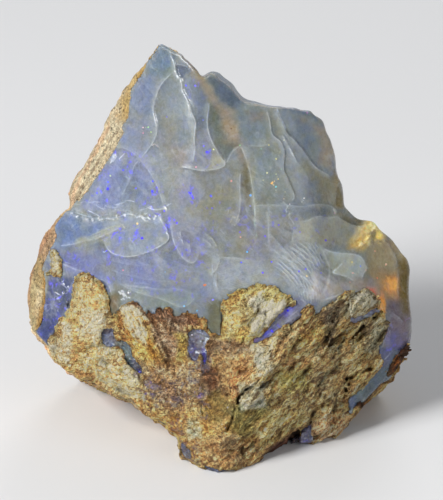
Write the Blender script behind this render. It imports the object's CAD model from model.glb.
# Rough opal on its host rock: the looks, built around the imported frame.
# Lengths inside this file are millimetres until a mesh is written, then metres.
import bpy
from concurrent.futures import ThreadPoolExecutor
import math
import time
import numpy as np
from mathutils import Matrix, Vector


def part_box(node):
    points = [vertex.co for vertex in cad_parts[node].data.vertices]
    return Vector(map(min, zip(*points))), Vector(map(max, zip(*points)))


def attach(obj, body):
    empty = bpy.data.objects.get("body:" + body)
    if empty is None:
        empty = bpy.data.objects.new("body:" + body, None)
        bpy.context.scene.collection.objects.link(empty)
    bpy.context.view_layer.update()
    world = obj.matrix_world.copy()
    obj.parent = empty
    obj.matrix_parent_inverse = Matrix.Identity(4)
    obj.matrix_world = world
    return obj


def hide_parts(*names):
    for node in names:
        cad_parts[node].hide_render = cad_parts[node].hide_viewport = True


T0 = time.time()
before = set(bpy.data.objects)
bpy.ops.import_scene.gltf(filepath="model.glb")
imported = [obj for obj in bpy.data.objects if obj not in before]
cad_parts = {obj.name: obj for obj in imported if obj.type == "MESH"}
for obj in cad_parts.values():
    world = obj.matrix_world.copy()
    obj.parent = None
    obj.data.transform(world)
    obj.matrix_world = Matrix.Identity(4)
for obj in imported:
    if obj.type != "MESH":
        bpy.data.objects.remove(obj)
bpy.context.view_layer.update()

# ------------------------------------------------------------------ shape constants
LEAN = math.radians(28.0)
SIN, COS = math.sin(LEAN), math.cos(LEAN)
REACH = 420.0          # the outline narrows to a point this far in front of the toe
AXIS_V = 39.25
UNIT = 0.176           # one outline unit in mm on the leaning plane
CX, CY0 = 221.5, 473.0
ORIGIN = (0.08, 19.0)
ROUND = 0.7

FRONT_FACES = [
    (-12.9, -0.06, -0.05), (-16.4, 0.36, -0.05), (-30.0, 0.93, 0.06), (-3.0, -0.06, -0.27),
    (-0.54, -0.36, -0.54), (0.0, 0.648, -0.727), (-17.2, -0.55, -0.02),
]
BACK_FACES = [(48.8, 0.0, -0.818), (77.9, -0.9, -1.16), (62.0, 0.95, -0.62), (47.0, -0.75, -0.2)]
HOLLOWS = [(8, 86, 45, 57.7), (-34, 60, 58, 46), (40, 40, 52, 36), (2, 22, 84, 46)]

# outline of the stone (units across, units down)
OUTLINE = """161.5,43.5 165,45.5 170,48.5 174,51.5 178,53 182,55 184,58.5 188,61 191,64 193,66 196,69 198,71.5 200,75
203,77 206,75.5 209,73.5 212,72.8 215,74.5 218,77.5 221,80 225,82.5 228,84.5 231,87 233,90.5 236,95 239,98 241,100
244,101.5 248,103 254,103.5 260,105 266,106.5 274,107.5 281,107 288,107.5 295,107.5 300,109.8 308,110.5 311,111.5
314,115.5 318,117.5 322,119.5 324,122 325,127 326.5,132 329,136 331,140 333,147 334.5,152 335.5,157 335.8,165
336.5,171 338,177 340.5,181.5 342,185 343.5,195 344,205 346,208 349,211 352,214 356,217.5 360,219.3 366,219.8
373,221 376,224 378,227 380,229.5 384,233 389,237 393,241 396,245 399,249.5 402,254 407,259 409,265 410,270 409,280
408.5,290 409,300 410.5,310 412,320 412,330 411,338 409.5,344 406.5,350 402,355 399,361 395,368 392,373 390,379
384,382 380,384 376,389 370,395 366,399 362,405 358,409 354,414 351,420 345,425 340,430 336,434 330,434.5 325,435
320,438 315,441 311,443 303,443.5 296,444 288,446 281,450 275,453 269,458 265,462 258,467 250,470 243,472 236,473
230,474.5 222,477 217,476 212,473 206,468.5 200,465 194,462.5 189,460 185,458 182,454 180.5,447 180,440 178,435
173,431 168,428 165,425 161,421 156,417 150,413.5 144,410 139,407 133,401 130,399.5 124,398 117,395 111,392 108,389
102,386.5 94,383.5 89,381 85,378.5 81,378 76,374.5 73,371.5 69,370.5 66,367 63,364 59,362 55,358 52,354 50,351
48.5,346 46,343 43,340 40,337 38,335 35,331 33,326 31,321 30,310 29.8,300 30,290 30.5,281 32,272 35,265 38,260
40,254 41,247 42,242 45,236 49,230.5 54,225 58,220 62,217 66,212 70,209.5 71,206 70.5,200 71,190 73.5,184 76,178
79,173.5 82,170.5 85,167 86,164 89,160 91,156 94,150.5 99,144 101,137 104.5,131 106,124 110,116 112.5,111.5 114,107
116,103 118,99 121,95 124,91 128,86 131,79.5 136,73.5 141,67.5 145,64 149,59 153,53.5 158,46"""

# host rock where it breaks out at the front
ROCK_MAIN = """30,365 40,352 48,341 51,337 54,331 57,325 61,319 66,314 69,310 70,304 72,298 73,292 75,286 77,280
80,275.5 84,273 88,275 93,278 98,282 101,287 104,292 107,297 108.5,303 109,310 109,317 113,318 117,314 119,310
122,307 128,304 133,302 138,303 141,306 143,312 146,315.5 149,309.5 152,312 154,316 157,309 161,306 163,311.5 167,307 170,310 171,317 174,321 177,318 179,322 182,314
186,316 188,311 192,317 195,314 198,320 203,318 205,323 206,328 207,332 210,336 216,336 221,335 222.5,331 221.5,322 222,315
223,308 224,302 228,299 233,295 238,291 243,289 249,288 254,285 260,284 266,286 272,287 277,290 281,294 285,297
291,297 294,300 295,304 290,307 286,308.5 282,311.5 279,314.5 275,319 270,324.5 265,330 260,335 254,339.5 250,341 246,342 250,343.5
254,343.5 259,342 264,340 270,337 276,333 282,328.5 287,324.5 292,321 297,317.5 302,315 308,313 313,313 320,311 326,307 331,305
337,303 340,300 338,298 341,296 345,293 350,293 356,293 362,291 367,290 371,293 374,297 377,299 378,304 376.5,308
378,311 381,313 384,318 388,325 387,330 386,334 383,341 379.5,348 379,355 379.5,363 377,370 372.5,376.5 366.5,383 360,389
354.5,394.5 351,399 349.5,404.5 351,410 349,413 356,418 350,440 320,455 260,485 215,490 170,470 120,420 60,385"""
ROCK_SMALL = [
    "50,249 55,249 60,251 61,258 61,265 61,272 60,277 56,275 50,272 47,275 47,272 51,268 51,262 50,255",
    "299,313 303,309 308,306.5 313,306.5 314,310 309,312 303,315",
    "408,345 402,351 396,357 392,363 389,370 385,378 379,385 373,391.5 367,398 362,403 366,407 376,401 384,391 396,385 402,373 408,362 412,350",
    "357,402 354,408 353,413 358,419 370,407 364,400",
]
# opal that fills pockets and seams in the host rock
POCKETS = [
    "101,336 102,331 106,328 111,328 114,330 113.5,334 115,338 117,341 121,341 126,342 130,346 132,351 133.5,357 136,361 140,365 142,370 141,375 138.5,373 135,370 130,366 126.5,362 124.5,358 125.5,354 122,349 118,346.5 113,347 107,346 102.5,342",
    "188,332 192,330 197,329 203,330 208,334 210,339 206.5,342 205,346 206.5,352 207,359 206,365 203.5,366 203,360 201,353 199,357 195,361 191,360 188.5,355 187.5,346 189,340",
    "179,440 184,444 189,450 192,455 190,459 184,462 178,452",
    "204,465 213,468.5 222,471 229,470 236,470 240,476 230,480 216,482 206,474",
    "352,322 350,319 357,317 366,314 372,310 377,307 378,311 372,315 365,319 358,322",
    "311,424.5 307.5,426 303.5,430 298,435 293,439.5 287,444 292,452 312,450 312,436",
]
RIND_UPPER = """162,40 158,48 153,55 149,60 147,64 146,68 143,74 139,79 136,84 133,88 131,92 131,98 130,105 129.5,112 129,118
126,122 123.5,125 122.5,127 123.5,129.5 124.5,132 124,135 121,139 118,145 115,150 112,155 108,161 104,168 99,175 94,182
89,190 85,195 82,199 80,201.5 77,201 75,204 73,207 70,212"""
RIND_LOWER = """68,208 66,213 62,218 58,223 55.5,227 56,231 57,235 56,240 54,245 51,249 48,256 45,263 43,269 45,275 46.5,282
46,290 46,296 46,302 44,310 43,318 41,325 38,329 33,333"""


def lin(r, g, b):
    c = np.array([r, g, b], np.float64) / 255.0
    return np.where(c <= 0.04045, c / 12.92, ((c + 0.055) / 1.055) ** 2.4)


def P2(text):
    return np.array([[float(c) for c in a.split(",")] for a in text.split()], dtype=np.float64)


def smooth_line(p, times=2, closed=False):
    for _ in range(times):
        q = []
        n = len(p)
        rng = range(n) if closed else range(n - 1)
        if not closed:
            q.append(p[0])
        for i in rng:
            a, b = p[i], p[(i + 1) % n]
            q.append(a * 0.75 + b * 0.25)
            q.append(a * 0.25 + b * 0.75)
        if not closed:
            q.append(p[-1])
        p = np.array(q)
    return p


# ------------------------------------------------------------------ noise
_r = np.random.RandomState(11)
_perm = np.concatenate([_r.permutation(256)] * 3).astype(np.int32)
_grad = _r.normal(size=(256, 3)).astype(np.float32)
_grad /= np.linalg.norm(_grad, axis=1, keepdims=True)
_rand = _r.rand(256).astype(np.float32)


def noise(x, y, z):
    x = np.asarray(x, np.float32); y = np.asarray(y, np.float32); z = np.asarray(z, np.float32)
    xi = np.floor(x); yi = np.floor(y); zi = np.floor(z)
    fx = x - xi; fy = y - yi; fz = z - zi
    xi = xi.astype(np.int32) & 255; yi = yi.astype(np.int32) & 255; zi = zi.astype(np.int32) & 255
    ux = fx * fx * fx * (fx * (fx * 6 - 15) + 10)
    uy = fy * fy * fy * (fy * (fy * 6 - 15) + 10)
    uz = fz * fz * fz * (fz * (fz * 6 - 15) + 10)
    out = 0
    for dx in (0, 1):
        wx = ux if dx else 1 - ux
        px = _perm[(xi + dx) & 255]
        for dy in (0, 1):
            wy = uy if dy else 1 - uy
            pxy = _perm[px + ((yi + dy) & 255)]
            for dz in (0, 1):
                wz = uz if dz else 1 - uz
                g = _grad[_perm[pxy + ((zi + dz) & 255)]]
                out = out + wx * wy * wz * (g[..., 0] * (fx - dx) + g[..., 1] * (fy - dy) + g[..., 2] * (fz - dz))
    return out * 1.5


def fbm(x, y, z, octaves=3, gain=0.5):
    total, amp = 0, 1.0
    for i in range(octaves):
        k = 2.03 ** i
        total = total + amp * noise(x * k + 17.3 * i, y * k - 9.1 * i, z * k + 4.7 * i)
        amp *= gain
    return total


def sstep(a, b, x):
    t = np.clip((x - a) / (b - a), 0, 1)
    return t * t * (3 - 2 * t)


# ------------------------------------------------------------------ maps on the leaning plane
SC = 2
MX = np.arange(0, 443 * SC + 1, dtype=np.float32) / SC
MY = np.arange(0, 500 * SC + 1, dtype=np.float32) / SC
GX, GY = np.meshgrid(MX, MY)
FAR = 60.0


def window(p, pad):
    x0 = max(0, int((p[:, 0].min() - pad) * SC)); x1 = min(len(MX), int((p[:, 0].max() + pad) * SC) + 2)
    y0 = max(0, int((p[:, 1].min() - pad) * SC)); y1 = min(len(MY), int((p[:, 1].max() + pad) * SC) + 2)
    return slice(y0, y1), slice(x0, x1)


def line_map(p, pad=30, gx=None, gy=None):
    """distance to an open line and the side of it: + is left when walking down, below when walking right"""
    gx = GX if gx is None else gx
    gy = GY if gy is None else gy
    ys, xs = window(p, pad)
    x, y = gx[ys, xs], gy[ys, xs]
    best = np.full(x.shape, 1e9, np.float32); side = np.zeros(x.shape, np.float32); end = np.zeros(x.shape, bool)
    arc = np.zeros(x.shape, np.float32)
    run = 0.0
    for i in range(len(p) - 1):
        ax, ay = p[i]; bx, by = p[i + 1]
        ex, ey = bx - ax, by - ay
        L2 = ex * ex + ey * ey + 1e-12
        raw = ((x - ax) * ex + (y - ay) * ey) / L2
        t = np.clip(raw, 0, 1)
        dx = x - ax - t * ex; dy = y - ay - t * ey
        d = dx * dx + dy * dy
        m = d < best
        best = np.where(m, d, best)
        side = np.where(m, np.sign(ex * (y - ay) - ey * (x - ax)), side)
        e = np.zeros(x.shape, bool)
        if i == 0:
            e = raw < 0
        if i == len(p) - 2:
            e = e | (raw > 1)
        end = np.where(m, e, end)
        arc = np.where(m, run + t * math.sqrt(L2), arc)
        run += math.sqrt(L2)
    return (ys, xs), np.sqrt(best), side, end, arc / max(run, 1e-6)


def poly_map(p, pad=30, gx=None, gy=None):
    """signed distance to a closed outline, negative inside; FAR outside its window"""
    gx = GX if gx is None else gx
    gy = GY if gy is None else gy
    out = np.full(GX.shape, FAR, np.float32)
    ys, xs = window(p, pad)
    x, y = gx[ys, xs], gy[ys, xs]
    best = np.full(x.shape, 1e9, np.float32); inside = np.zeros(x.shape, bool)
    n = len(p)
    for i in range(n):
        ax, ay = p[i - 1]; bx, by = p[i]
        ex, ey = bx - ax, by - ay
        t = np.clip(((x - ax) * ex + (y - ay) * ey) / (ex * ex + ey * ey + 1e-12), 0, 1)
        dx = x - ax - t * ex; dy = y - ay - t * ey
        best = np.minimum(best, dx * dx + dy * dy)
        if ay != by:
            c = ((ay > y) != (by > y)) & (x < ex * (y - ay) / ey + ax)
            inside ^= c
    out[ys, xs] = np.where(inside, -1, 1) * np.sqrt(best)
    return out


# ragged edges for rock, clean ones for opal
_wx = 1.1 * noise(GX / 6.0, GY / 6.0, 0.3 + 0 * GX) + 0.8 * noise(GX / 2.6, GY / 2.6, 5.3 + 0 * GX)
_wy = 1.1 * noise(GX / 6.0, GY / 6.0, 9.3 + 0 * GX) + 0.8 * noise(GX / 2.6, GY / 2.6, 3.1 + 0 * GX)
_wx = _wx + 0.85 * noise(GX / 1.35, GY / 1.35, 15.3 + 0 * GX)
_wy = _wy + 0.85 * noise(GX / 1.35, GY / 1.35, 19.3 + 0 * GX)
RX, RY = GX + _wx, GY + _wy
_px = 1.5 * noise(GX / 3.4, GY / 3.4, 41.1 + 0 * GX) + 0.8 * noise(GX / 1.7, GY / 1.7, 43.1 + 0 * GX)
_py = 1.5 * noise(GX / 3.4, GY / 3.4, 47.1 + 0 * GX) + 0.8 * noise(GX / 1.7, GY / 1.7, 49.1 + 0 * GX)

RIM = poly_map(smooth_line(P2(OUTLINE), 1, True), 400) * UNIT
SD_ROCK = poly_map(P2(ROCK_MAIN), 60, RX, RY)
for t in ROCK_SMALL:
    SD_ROCK = np.minimum(SD_ROCK, poly_map(P2(t), 30, RX, RY))
SD_POCKET = np.full(GX.shape, FAR, np.float32)
for t in POCKETS:
    SD_POCKET = np.minimum(SD_POCKET, poly_map(P2(t), 20, GX + _px, GY + _py))

RELIEF = np.zeros(GX.shape, np.float32)     # mm pushed back from the broken faces
LINES = np.zeros(GX.shape, np.float32)      # 0..1 broad pale glow along fresh edges
SHADE = np.zeros(GX.shape, np.float32)      # darker on the far side of an edge, lighter on the near side
EDGE_D = np.full(GX.shape, 99.0, np.float32)   # how far the nearest edge line is
EDGE_S = np.full(GX.shape, 9.0, np.float32)    # its signed distance
EDGE_M = np.zeros(GX.shape, np.float32)        # its strength
EDGE_C = np.ones(GX.shape + (3,), np.float32)  # its colour
PALE = (216, 222, 226)


def strip(text, far, slope):
    p = P2(text)
    (ys, xs), d, side, end, arc = line_map(p, 30)
    hit = (side > 0) & ~end
    sd = np.full(GX.shape, FAR, np.float32)
    sd[ys, xs] = np.where(hit, -d, d)
    RELIEF[ys, xs] += np.where(hit, slope * UNIT * 16 * (1 - np.exp(-d / 16.0)), 0)
    return sd


SD_RIND = np.minimum(strip(RIND_UPPER, 0, 1.9), strip(RIND_LOWER, 0, 1.5))


def ink(ys, xs, s, past, line, rgb):
    """notes a fine line so that the material can draw it sharply"""
    d = np.abs(s) + (past < 0.3) * 4
    old = EDGE_S[ys, xs]
    near = (np.abs(s) < 5) & (np.abs(old) < 5) & (np.abs(np.abs(s) - np.abs(old)) < 1.5)
    if (np.sign(s) * np.sign(old) * near).sum() < 0:
        s = -s
    gx, gy = GX[ys, xs], GY[ys, xs]
    line = line * np.clip(0.78 + 0.55 * noise(gx / 6.5, gy / 6.5, 77.7 + 0 * gx) + 0.3 * noise(gx / 2.1, gy / 2.1, 71.7 + 0 * gx), 0.25, 1.25)
    m = d < EDGE_D[ys, xs]
    EDGE_D[ys, xs] = np.where(m, d, EDGE_D[ys, xs])
    EDGE_S[ys, xs] = np.where(m, s, EDGE_S[ys, xs])
    EDGE_M[ys, xs] = np.where(m, line * past * sstep(4.4, 2.6, np.abs(s)), EDGE_M[ys, xs])
    c = lin(*rgb)
    for k in range(3):
        EDGE_C[ys, xs, k] = np.where(m, c[k], EDGE_C[ys, xs, k])


def ledge(text, sign, h, fade, line=0.6, soft=0.7, bead=0.02, rgb=PALE):
    """the surface on one side of a line stands back by h mm, fading over 'fade' mm"""
    line = 0.80 * line ** 0.7
    p = smooth_line(P2(text), 2)
    (ys, xs), d, side, end, arc = line_map(p, 45)
    s = side * sign * d                      # + on the side that stands back
    past = np.where(end, 0.0, sstep(0, 0.05, arc) * sstep(1, 0.95, arc))
    body = np.where(end, 0.0, sstep(0, 0.22, arc) * sstep(1, 0.78, arc))
    rise = sstep(-soft * 0.5, soft, s)
    RELIEF[ys, xs] += 0.62 * h * rise * np.exp(-np.maximum(s, 0) * UNIT / fade) * body
    RELIEF[ys, xs] -= bead * np.exp(-((s + 1.0) / 1.2) ** 2) * past
    g = np.exp(-((s + 1.8) / 2.2) ** 2) * past
    LINES[ys, xs] = np.maximum(LINES[ys, xs], line * g)
    SHADE[ys, xs] += line * past * (sstep(-0.5, 1.2, s) * np.exp(-np.maximum(s, 0) / 9.0) - 0.45 * sstep(0.5, -1.2, s) * np.exp(np.minimum(s, 0) / 7.0))
    ink(ys, xs, s + 0.5, past, line, rgb)


def stroke(text, line=0.7, rgb=PALE, lift=0.04):
    """a fine line with no step, such as a glint or a hair crack"""
    p = smooth_line(P2(text), 2)
    (ys, xs), d, side, end, arc = line_map(p, 12)
    past = np.where(end, 0.0, sstep(0, 0.15, arc) * sstep(1, 0.85, arc))
    RELIEF[ys, xs] -= lift * np.exp(-(d / 1.2) ** 2) * past
    ink(ys, xs, side * d, past, line, rgb)


ledge("174,72 165,80 160,87 157,95 154.5,104 153.5,110 155,117 157,124 157.5,130 156,137 153,143 149,149 144,155 140,160", -1, 0.36, 3.0, 0.62)
ledge("110,154 114,149.5 120,147.5 128,150 136,156 143,164 150,173 156,184 160,195 163,206", 1, 0.22, 2.5, 0.28)
ledge("140,160 135,165 133,170 131,178 127,187 122,196", -1, 0.15, 2.0, 0.3)
ledge("170,49 171,56 174,62 175,66 176,71 179,77 182,80 182,87 184,93 187,98 190,105 191,110 193,115 195.5,120 196,126 195,133 194.5,142 195.5,150 194,158 193,164", -1, 0.4, 3.0, 0.75)
ledge("175,65 181,65 186,66.5 190,70", 1, 0.5, 2.0, 0.4)
ledge("210,101 208.5,112 207.5,121 208,128 210,136 213,143 217,150 221,157 226,163 224,167 218,169 210,170.5 203,171 195,170 187,168 178,167", -1, 0.32, 3.5, 0.75)
ledge("226,163 229,157 232,151 236,148 240,145", -1, 0.16, 2.5, 0.4)
ledge("240,145 243,152 246,160 249,170 251,182 253,195 254,207 255,218 256,230", 1, 0.3, 3.0, 0.45)
ledge("241,172 240,185 241,200 240,213 237,222 233,227", -1, 0.25, 1.6, 0.45)
ledge("265,107 268,113 270,120 271,127 272,133 275,137 280,140 283,145 285,151 285,157 284,163 284,170 287,176 290,183 293,190 295,196 294,200 290,202", -1, 0.5, 3.0, 0.75)
ledge("274,110 280,118 284,126 287,133 291,137 296,141 300,146 305,152 310,160 315,166 320,170 326,173 331,176", -1, 0.55, 3.0, 0.75)
ledge("282,134 286,142 290,150 294,156 298,164", -1, 0.18, 1.2, 0.7)
ledge("250,146 256,146.5 262,147 269,144", 1, 0.12, 1.0, 0.25)
ledge("252,205 265,204.5 278,204 290,205 305,206 316,204 325,204 333,206 337,210 337,216", -1, 0.3, 2.5, 0.35)
ledge("300,222 308,220 314,217 320,215.5 326,217 334,217 339,214", -1, 0.25, 2.0, 0.35)
ledge("268,205 267,215 268,225 268,235 268,250", 1, 0.2, 2.0, 0.3)
ledge("270,233 277,241 283,248 290,255 296,262", -1, 0.2, 2.0, 0.3)
ledge("293,228 292,240 290,250", 1, 0.2, 2.0, 0.25)
ledge("158,214 162,221 165,226 168,232 170,240 160,247 148,252.5 135,257 122,257 112,254 107,249 104,243 103,236", -1, 0.5, 2.6, 0.6)
ledge("91,279 98,279 104,281 108,285 110,290 111,296", 1, 0.3, 1.6, 0.5)
ledge("118,283 124,287 135,292 148,296 160,299 170,303 180,308 188,306 194,300 195,296", 1, 0.25, 2.0, 0.30)
ledge("120,284 140,287 160,289 175,288 188,290 195,295", -1, 0.12, 2.0, 0.16)
ledge("323,248 333,252 345,253 355,254 361,256 364,260 366,265 368,268 364,273 362,279", -1, 0.22, 2.2, 0.95)
ledge("343,262 338,267 333,271 332,273 340,275 347,277 354,281", 1, 0.3, 2.0, 0.95)
ledge("168,219 171,230 173,242 177,250 181,257 187,262 193,264 198,259 199,252", 1, 0.35, 2.0, 0.5)
ledge("180,231 182,238 184,245", -1, 0.2, 1.0, 0.7)
ledge("220,257 219,265 216,271 211,276", -1, 0.3, 1.6, 0.6)
ledge("217,275 216.5,283 219,292", -1, 0.3, 1.4, 0.55)
ledge("222,257 233,257 245,259 250,261", -1, 0.2, 1.6, 0.3)
ledge("204,233 210,236 214,241 217,247", -1, 0.16, 1.2, 0.45)
ledge("203,238 208,241 212,246", -1, 0.12, 1.0, 0.3)
ledge("320,300 335,296 345,291 356,289", -1, 0.3, 2.5, 0.28)
ledge("318,245 322,250 330,268 328,285 320,297", 1, 0.25, 3.0, 0.2)
ledge("340,181 336,190 335,200 337,208", -1, 0.4, 1.8, 0.3)
ledge("337,216 345,221 353,225 361,227 368,223", -1, 0.9, 3.0, 0.3)
ledge("376,224 371,232 366,239 358,247 350,250", 1, 0.4, 1.8, 0.2)
ledge("380,230 384,239 390,246 396,256 398,268", -1, 0.5, 2.5, 0.25)
ledge("399,268 398,280 398,292 399,300", -1, 0.5, 2.5, 0.15)
ledge("378,285 380,300 385,318 391,332 389,350", -1, 0.5, 3.5, 0.1)
ledge("392,312 399,318 404,322", -1, 0.25, 1.2, 0.4)
ledge("62,247 72,245 82,242 92,240 104,236 114,231 122,227", 1, 0.25, 1.6, 0.35)
ledge("47,256 60,262 72,268 84,271", -1, 0.2, 1.6, 0.3)

# crumbled edge across the left of the opal, and hackle marks low on the right
(ys, xs), d, side, end, arc = line_map(smooth_line(P2("68,210 75,213 82,215.5 90,217.5 100,219 108,218 118,217 128,213 140,216 150,219 160,214 167,206"), 2), 20)
crumb = np.exp(-(d / 2.4) ** 2) * (0.35 + noise(GX[ys, xs] / 3.2, GY[ys, xs] / 2.4, 7.7 + 0 * GX[ys, xs]))
RELIEF[ys, xs] += 0.42 * crumb
hk = poly_map(P2("276,243 300,244 322,252 344,276 330,296 305,300 286,284 278,262"), 30)
al = (GX * 0.80 + GY * 0.60); ac = (-GX * 0.60 + GY * 0.80)
hackle = noise(al / 22.0, ac / 3.4, 2.2 + 0 * GX) + 0.5 * noise(al / 14.0, ac / 1.9, 8.2 + 0 * GX)
hw = sstep(4, -9, hk)
RELIEF += 0.20 * hackle * hw
LINES = np.maximum(LINES, 0.9 * hw * sstep(0.0, 0.5, -hackle))

amb = poly_map(P2("350,247 356,231 370,220 384,232 388,244 372,246"), 20)
RELIEF += 0.34 * (noise(GX / 5.0, GY / 4.0, 4.4 + 0 * GX) + 0.6 * noise(GX / 2.4, GY / 2.0, 6.4 + 0 * GX)) * sstep(3, -4, amb)
# cracks and undercut breaks in the host rock: line, depth, half width (units)
for text, deep, half in [
    ("345,299 340,307 334,317 329,325 326,334 326,341", 1.0, 3.2), ("338,303 333,312 328,320", 0.5, 1.6), ("343,312 338,320 333,331 331,341", 0.8, 1.5),
    ("333,322 331,330 328,337", 0.8, 1.5),
    ("349,303 345,310 340,318", 0.9, 1.3),
    ("338,349 340,354 339,360 338,365", 1.2, 1.5),
    ("356,374 350,378 348,384 345,392 342,400", 1.9, 2.6),
    ("347,374 346,382", 1.4, 2.0),
    ("378,366 370,369 362,371 355,375", 1.0, 1.3),
    ("368,322 362,327 356,333 351,338", 1.3, 1.6),
    ("366,332 360,337 355,343", 1.0, 1.4),
    ("388,328 382,334 377,341 372,349 368,353", 1.5, 1.7),
    ("381,311 376,317 370,321", 1.2, 1.6),
    ("257,385 250,387.5 245,390.5 241,394 237,400 237,406 239,409", 1.6, 1.5),
    ("232,421 229,427 227,432 223,434", 0.9, 1.2),
    ("228,440 230,443 228,449 234,451", 0.9, 1.4),
    ("318,406 313,412 311,420 309,425", 1.5, 2.0),
    ("323,402 322,407", 1.0, 1.6),
    ("298,356 294,363 289,371", 1.0, 1.4),
    ("312,362 306,370 303,376", 0.9, 1.4),
    ("288,338 281,343 277,347", 0.8, 1.3),
    ("275,381 272,388 273,396 271,401", 0.9, 1.2),
    ("222,299 221,310 221.5,322 222,333", 0.8, 1.0),
    ("69,300 69,308 67,316", 1.0, 1.2),
    ("242,446 243,455 246,462", 0.6, 1.2),
    ("335,404 332,412 334,422", 0.8, 1.2),
    ("284,409 286,415 283,421", 0.6, 1.2),
    ("214,392 224,393 231,398 234.5,406 233.5,416 229,424 221,429 212,428", 0.9, 1.2),
    ("204,398 202,406 204,416 208,424", 0.7, 1.2),
    ("309,426 303,430 297,435 290,441 281,448 272,455", 1.6, 2.0),
    ("84,274 78,290 77,304 80,316", 0.6, 1.2),
    ("79,318 74,322 66,324", 0.5, 1.2),
    ("117,312 120,326 126,340 134,352", 0.45, 1.2), ("150,316 157,328 163,342 168,356", 0.3, 1.2),
    ("222,338 236,344 250,352", 0.6, 1.3),
    ("246,344 240,350 233,357", 0.6, 1.2),
]:
    p = smooth_line(P2(text), 1)
    (ys, xs), d, side, end, arc = line_map(p, 16, RX, RY)
    torn = np.clip(0.80 + 0.75 * noise(GX[ys, xs] / 4.6, GY[ys, xs] / 4.6, 33.3 + 0 * d), 0.30, 1.15)
    RELIEF[ys, xs] += deep * torn * np.exp(-(d / half) ** 2) * (0.35 + 0.65 * np.sin(np.pi * np.clip(arc, 0.04, 0.96)))
_pk = sstep(1.0, -3.0, SD_POCKET)
RELIEF += _pk * (0.35 + 0.30 * noise(GX / 3.6, GY / 3.6, 61.0 + 0 * GX) + 0.22 * noise(GX / 1.8, GY / 1.8, 63.0 + 0 * GX))
_m = sstep(2.5, -2.5, poly_map(P2("248,330 256,316 262,302 274,300 286,303 282,312 268,326 254,338"), 14, RX, RY))
RELIEF -= 1.0 * _m * np.clip(((GX - 250) * 0.75 + (GY - 300) * 0.66) / 32.0, 0, 1)
# rock blocks that stand at their own level: outline, step back (mm)
for text, back in [
    ("209,394 218,392 228,395 232,402 232,412 228,420 218,423 210,421 206,412 206,402", 0.35),
    ("240,386 258,383 272,388 273,398 268,405 256,409 243,411 238,404", -0.5),
    ("300,428 290,432 282,438 275,446 268,452 262,460 257,468 275,470 300,452", 2.2),
    ("254,302 262,297 275,303 283,308 268,322 254,335 247,331 256,318", -0.25),
    ("350,302 360,296 372,300 374,308 362,316 350,318", -0.5),
            ("205,370 222,368 226,388 218,396 204,398 200,384", 0.4),
]:
    sd = poly_map(P2(text), 12, RX, RY)
    RELIEF += back * sstep(1.6, -1.6, sd)


# ------------------------------------------------------------------ colour regions, painted by hand on the leaning plane
_sx = 2.6 * noise(GX / 19.0, GY / 19.0, 1.7 + 0 * GX) + 1.5 * noise(GX / 7.0, GY / 7.0, 6.1 + 0 * GX)
_sy = 2.6 * noise(GX / 19.0, GY / 19.0, 11.7 + 0 * GX) + 1.5 * noise(GX / 7.0, GY / 7.0, 16.1 + 0 * GX)
_sx = _sx * 1.3 + 1.1 * noise(GX / 2.8, GY / 2.8, 21.1 + 0 * GX)
_sy = _sy * 1.3 + 1.1 * noise(GX / 2.8, GY / 2.8, 31.1 + 0 * GX)


def canvas(rgb):
    c = np.empty(GX.shape + (3,), np.float32)
    c[:] = lin(*rgb)
    return c


def paint(img, text, rgb, soft=5.0, k=1.0, wobble=1.0):
    sd = poly_map(P2(text), soft * 2 + 12, GX + wobble * _sx, GY + wobble * _sy)
    m = (k * sstep(soft, -soft, sd))[..., None]
    img[:] = img * (1 - m) + lin(*rgb).astype(np.float32) * m


def mark(img, text, value, soft=5.0):
    sd = poly_map(P2(text), soft * 2 + 12, GX + _sx, GY + _sy)
    m = sstep(soft, -soft, sd)
    img[:] = img * (1 - m) + value * m


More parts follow.
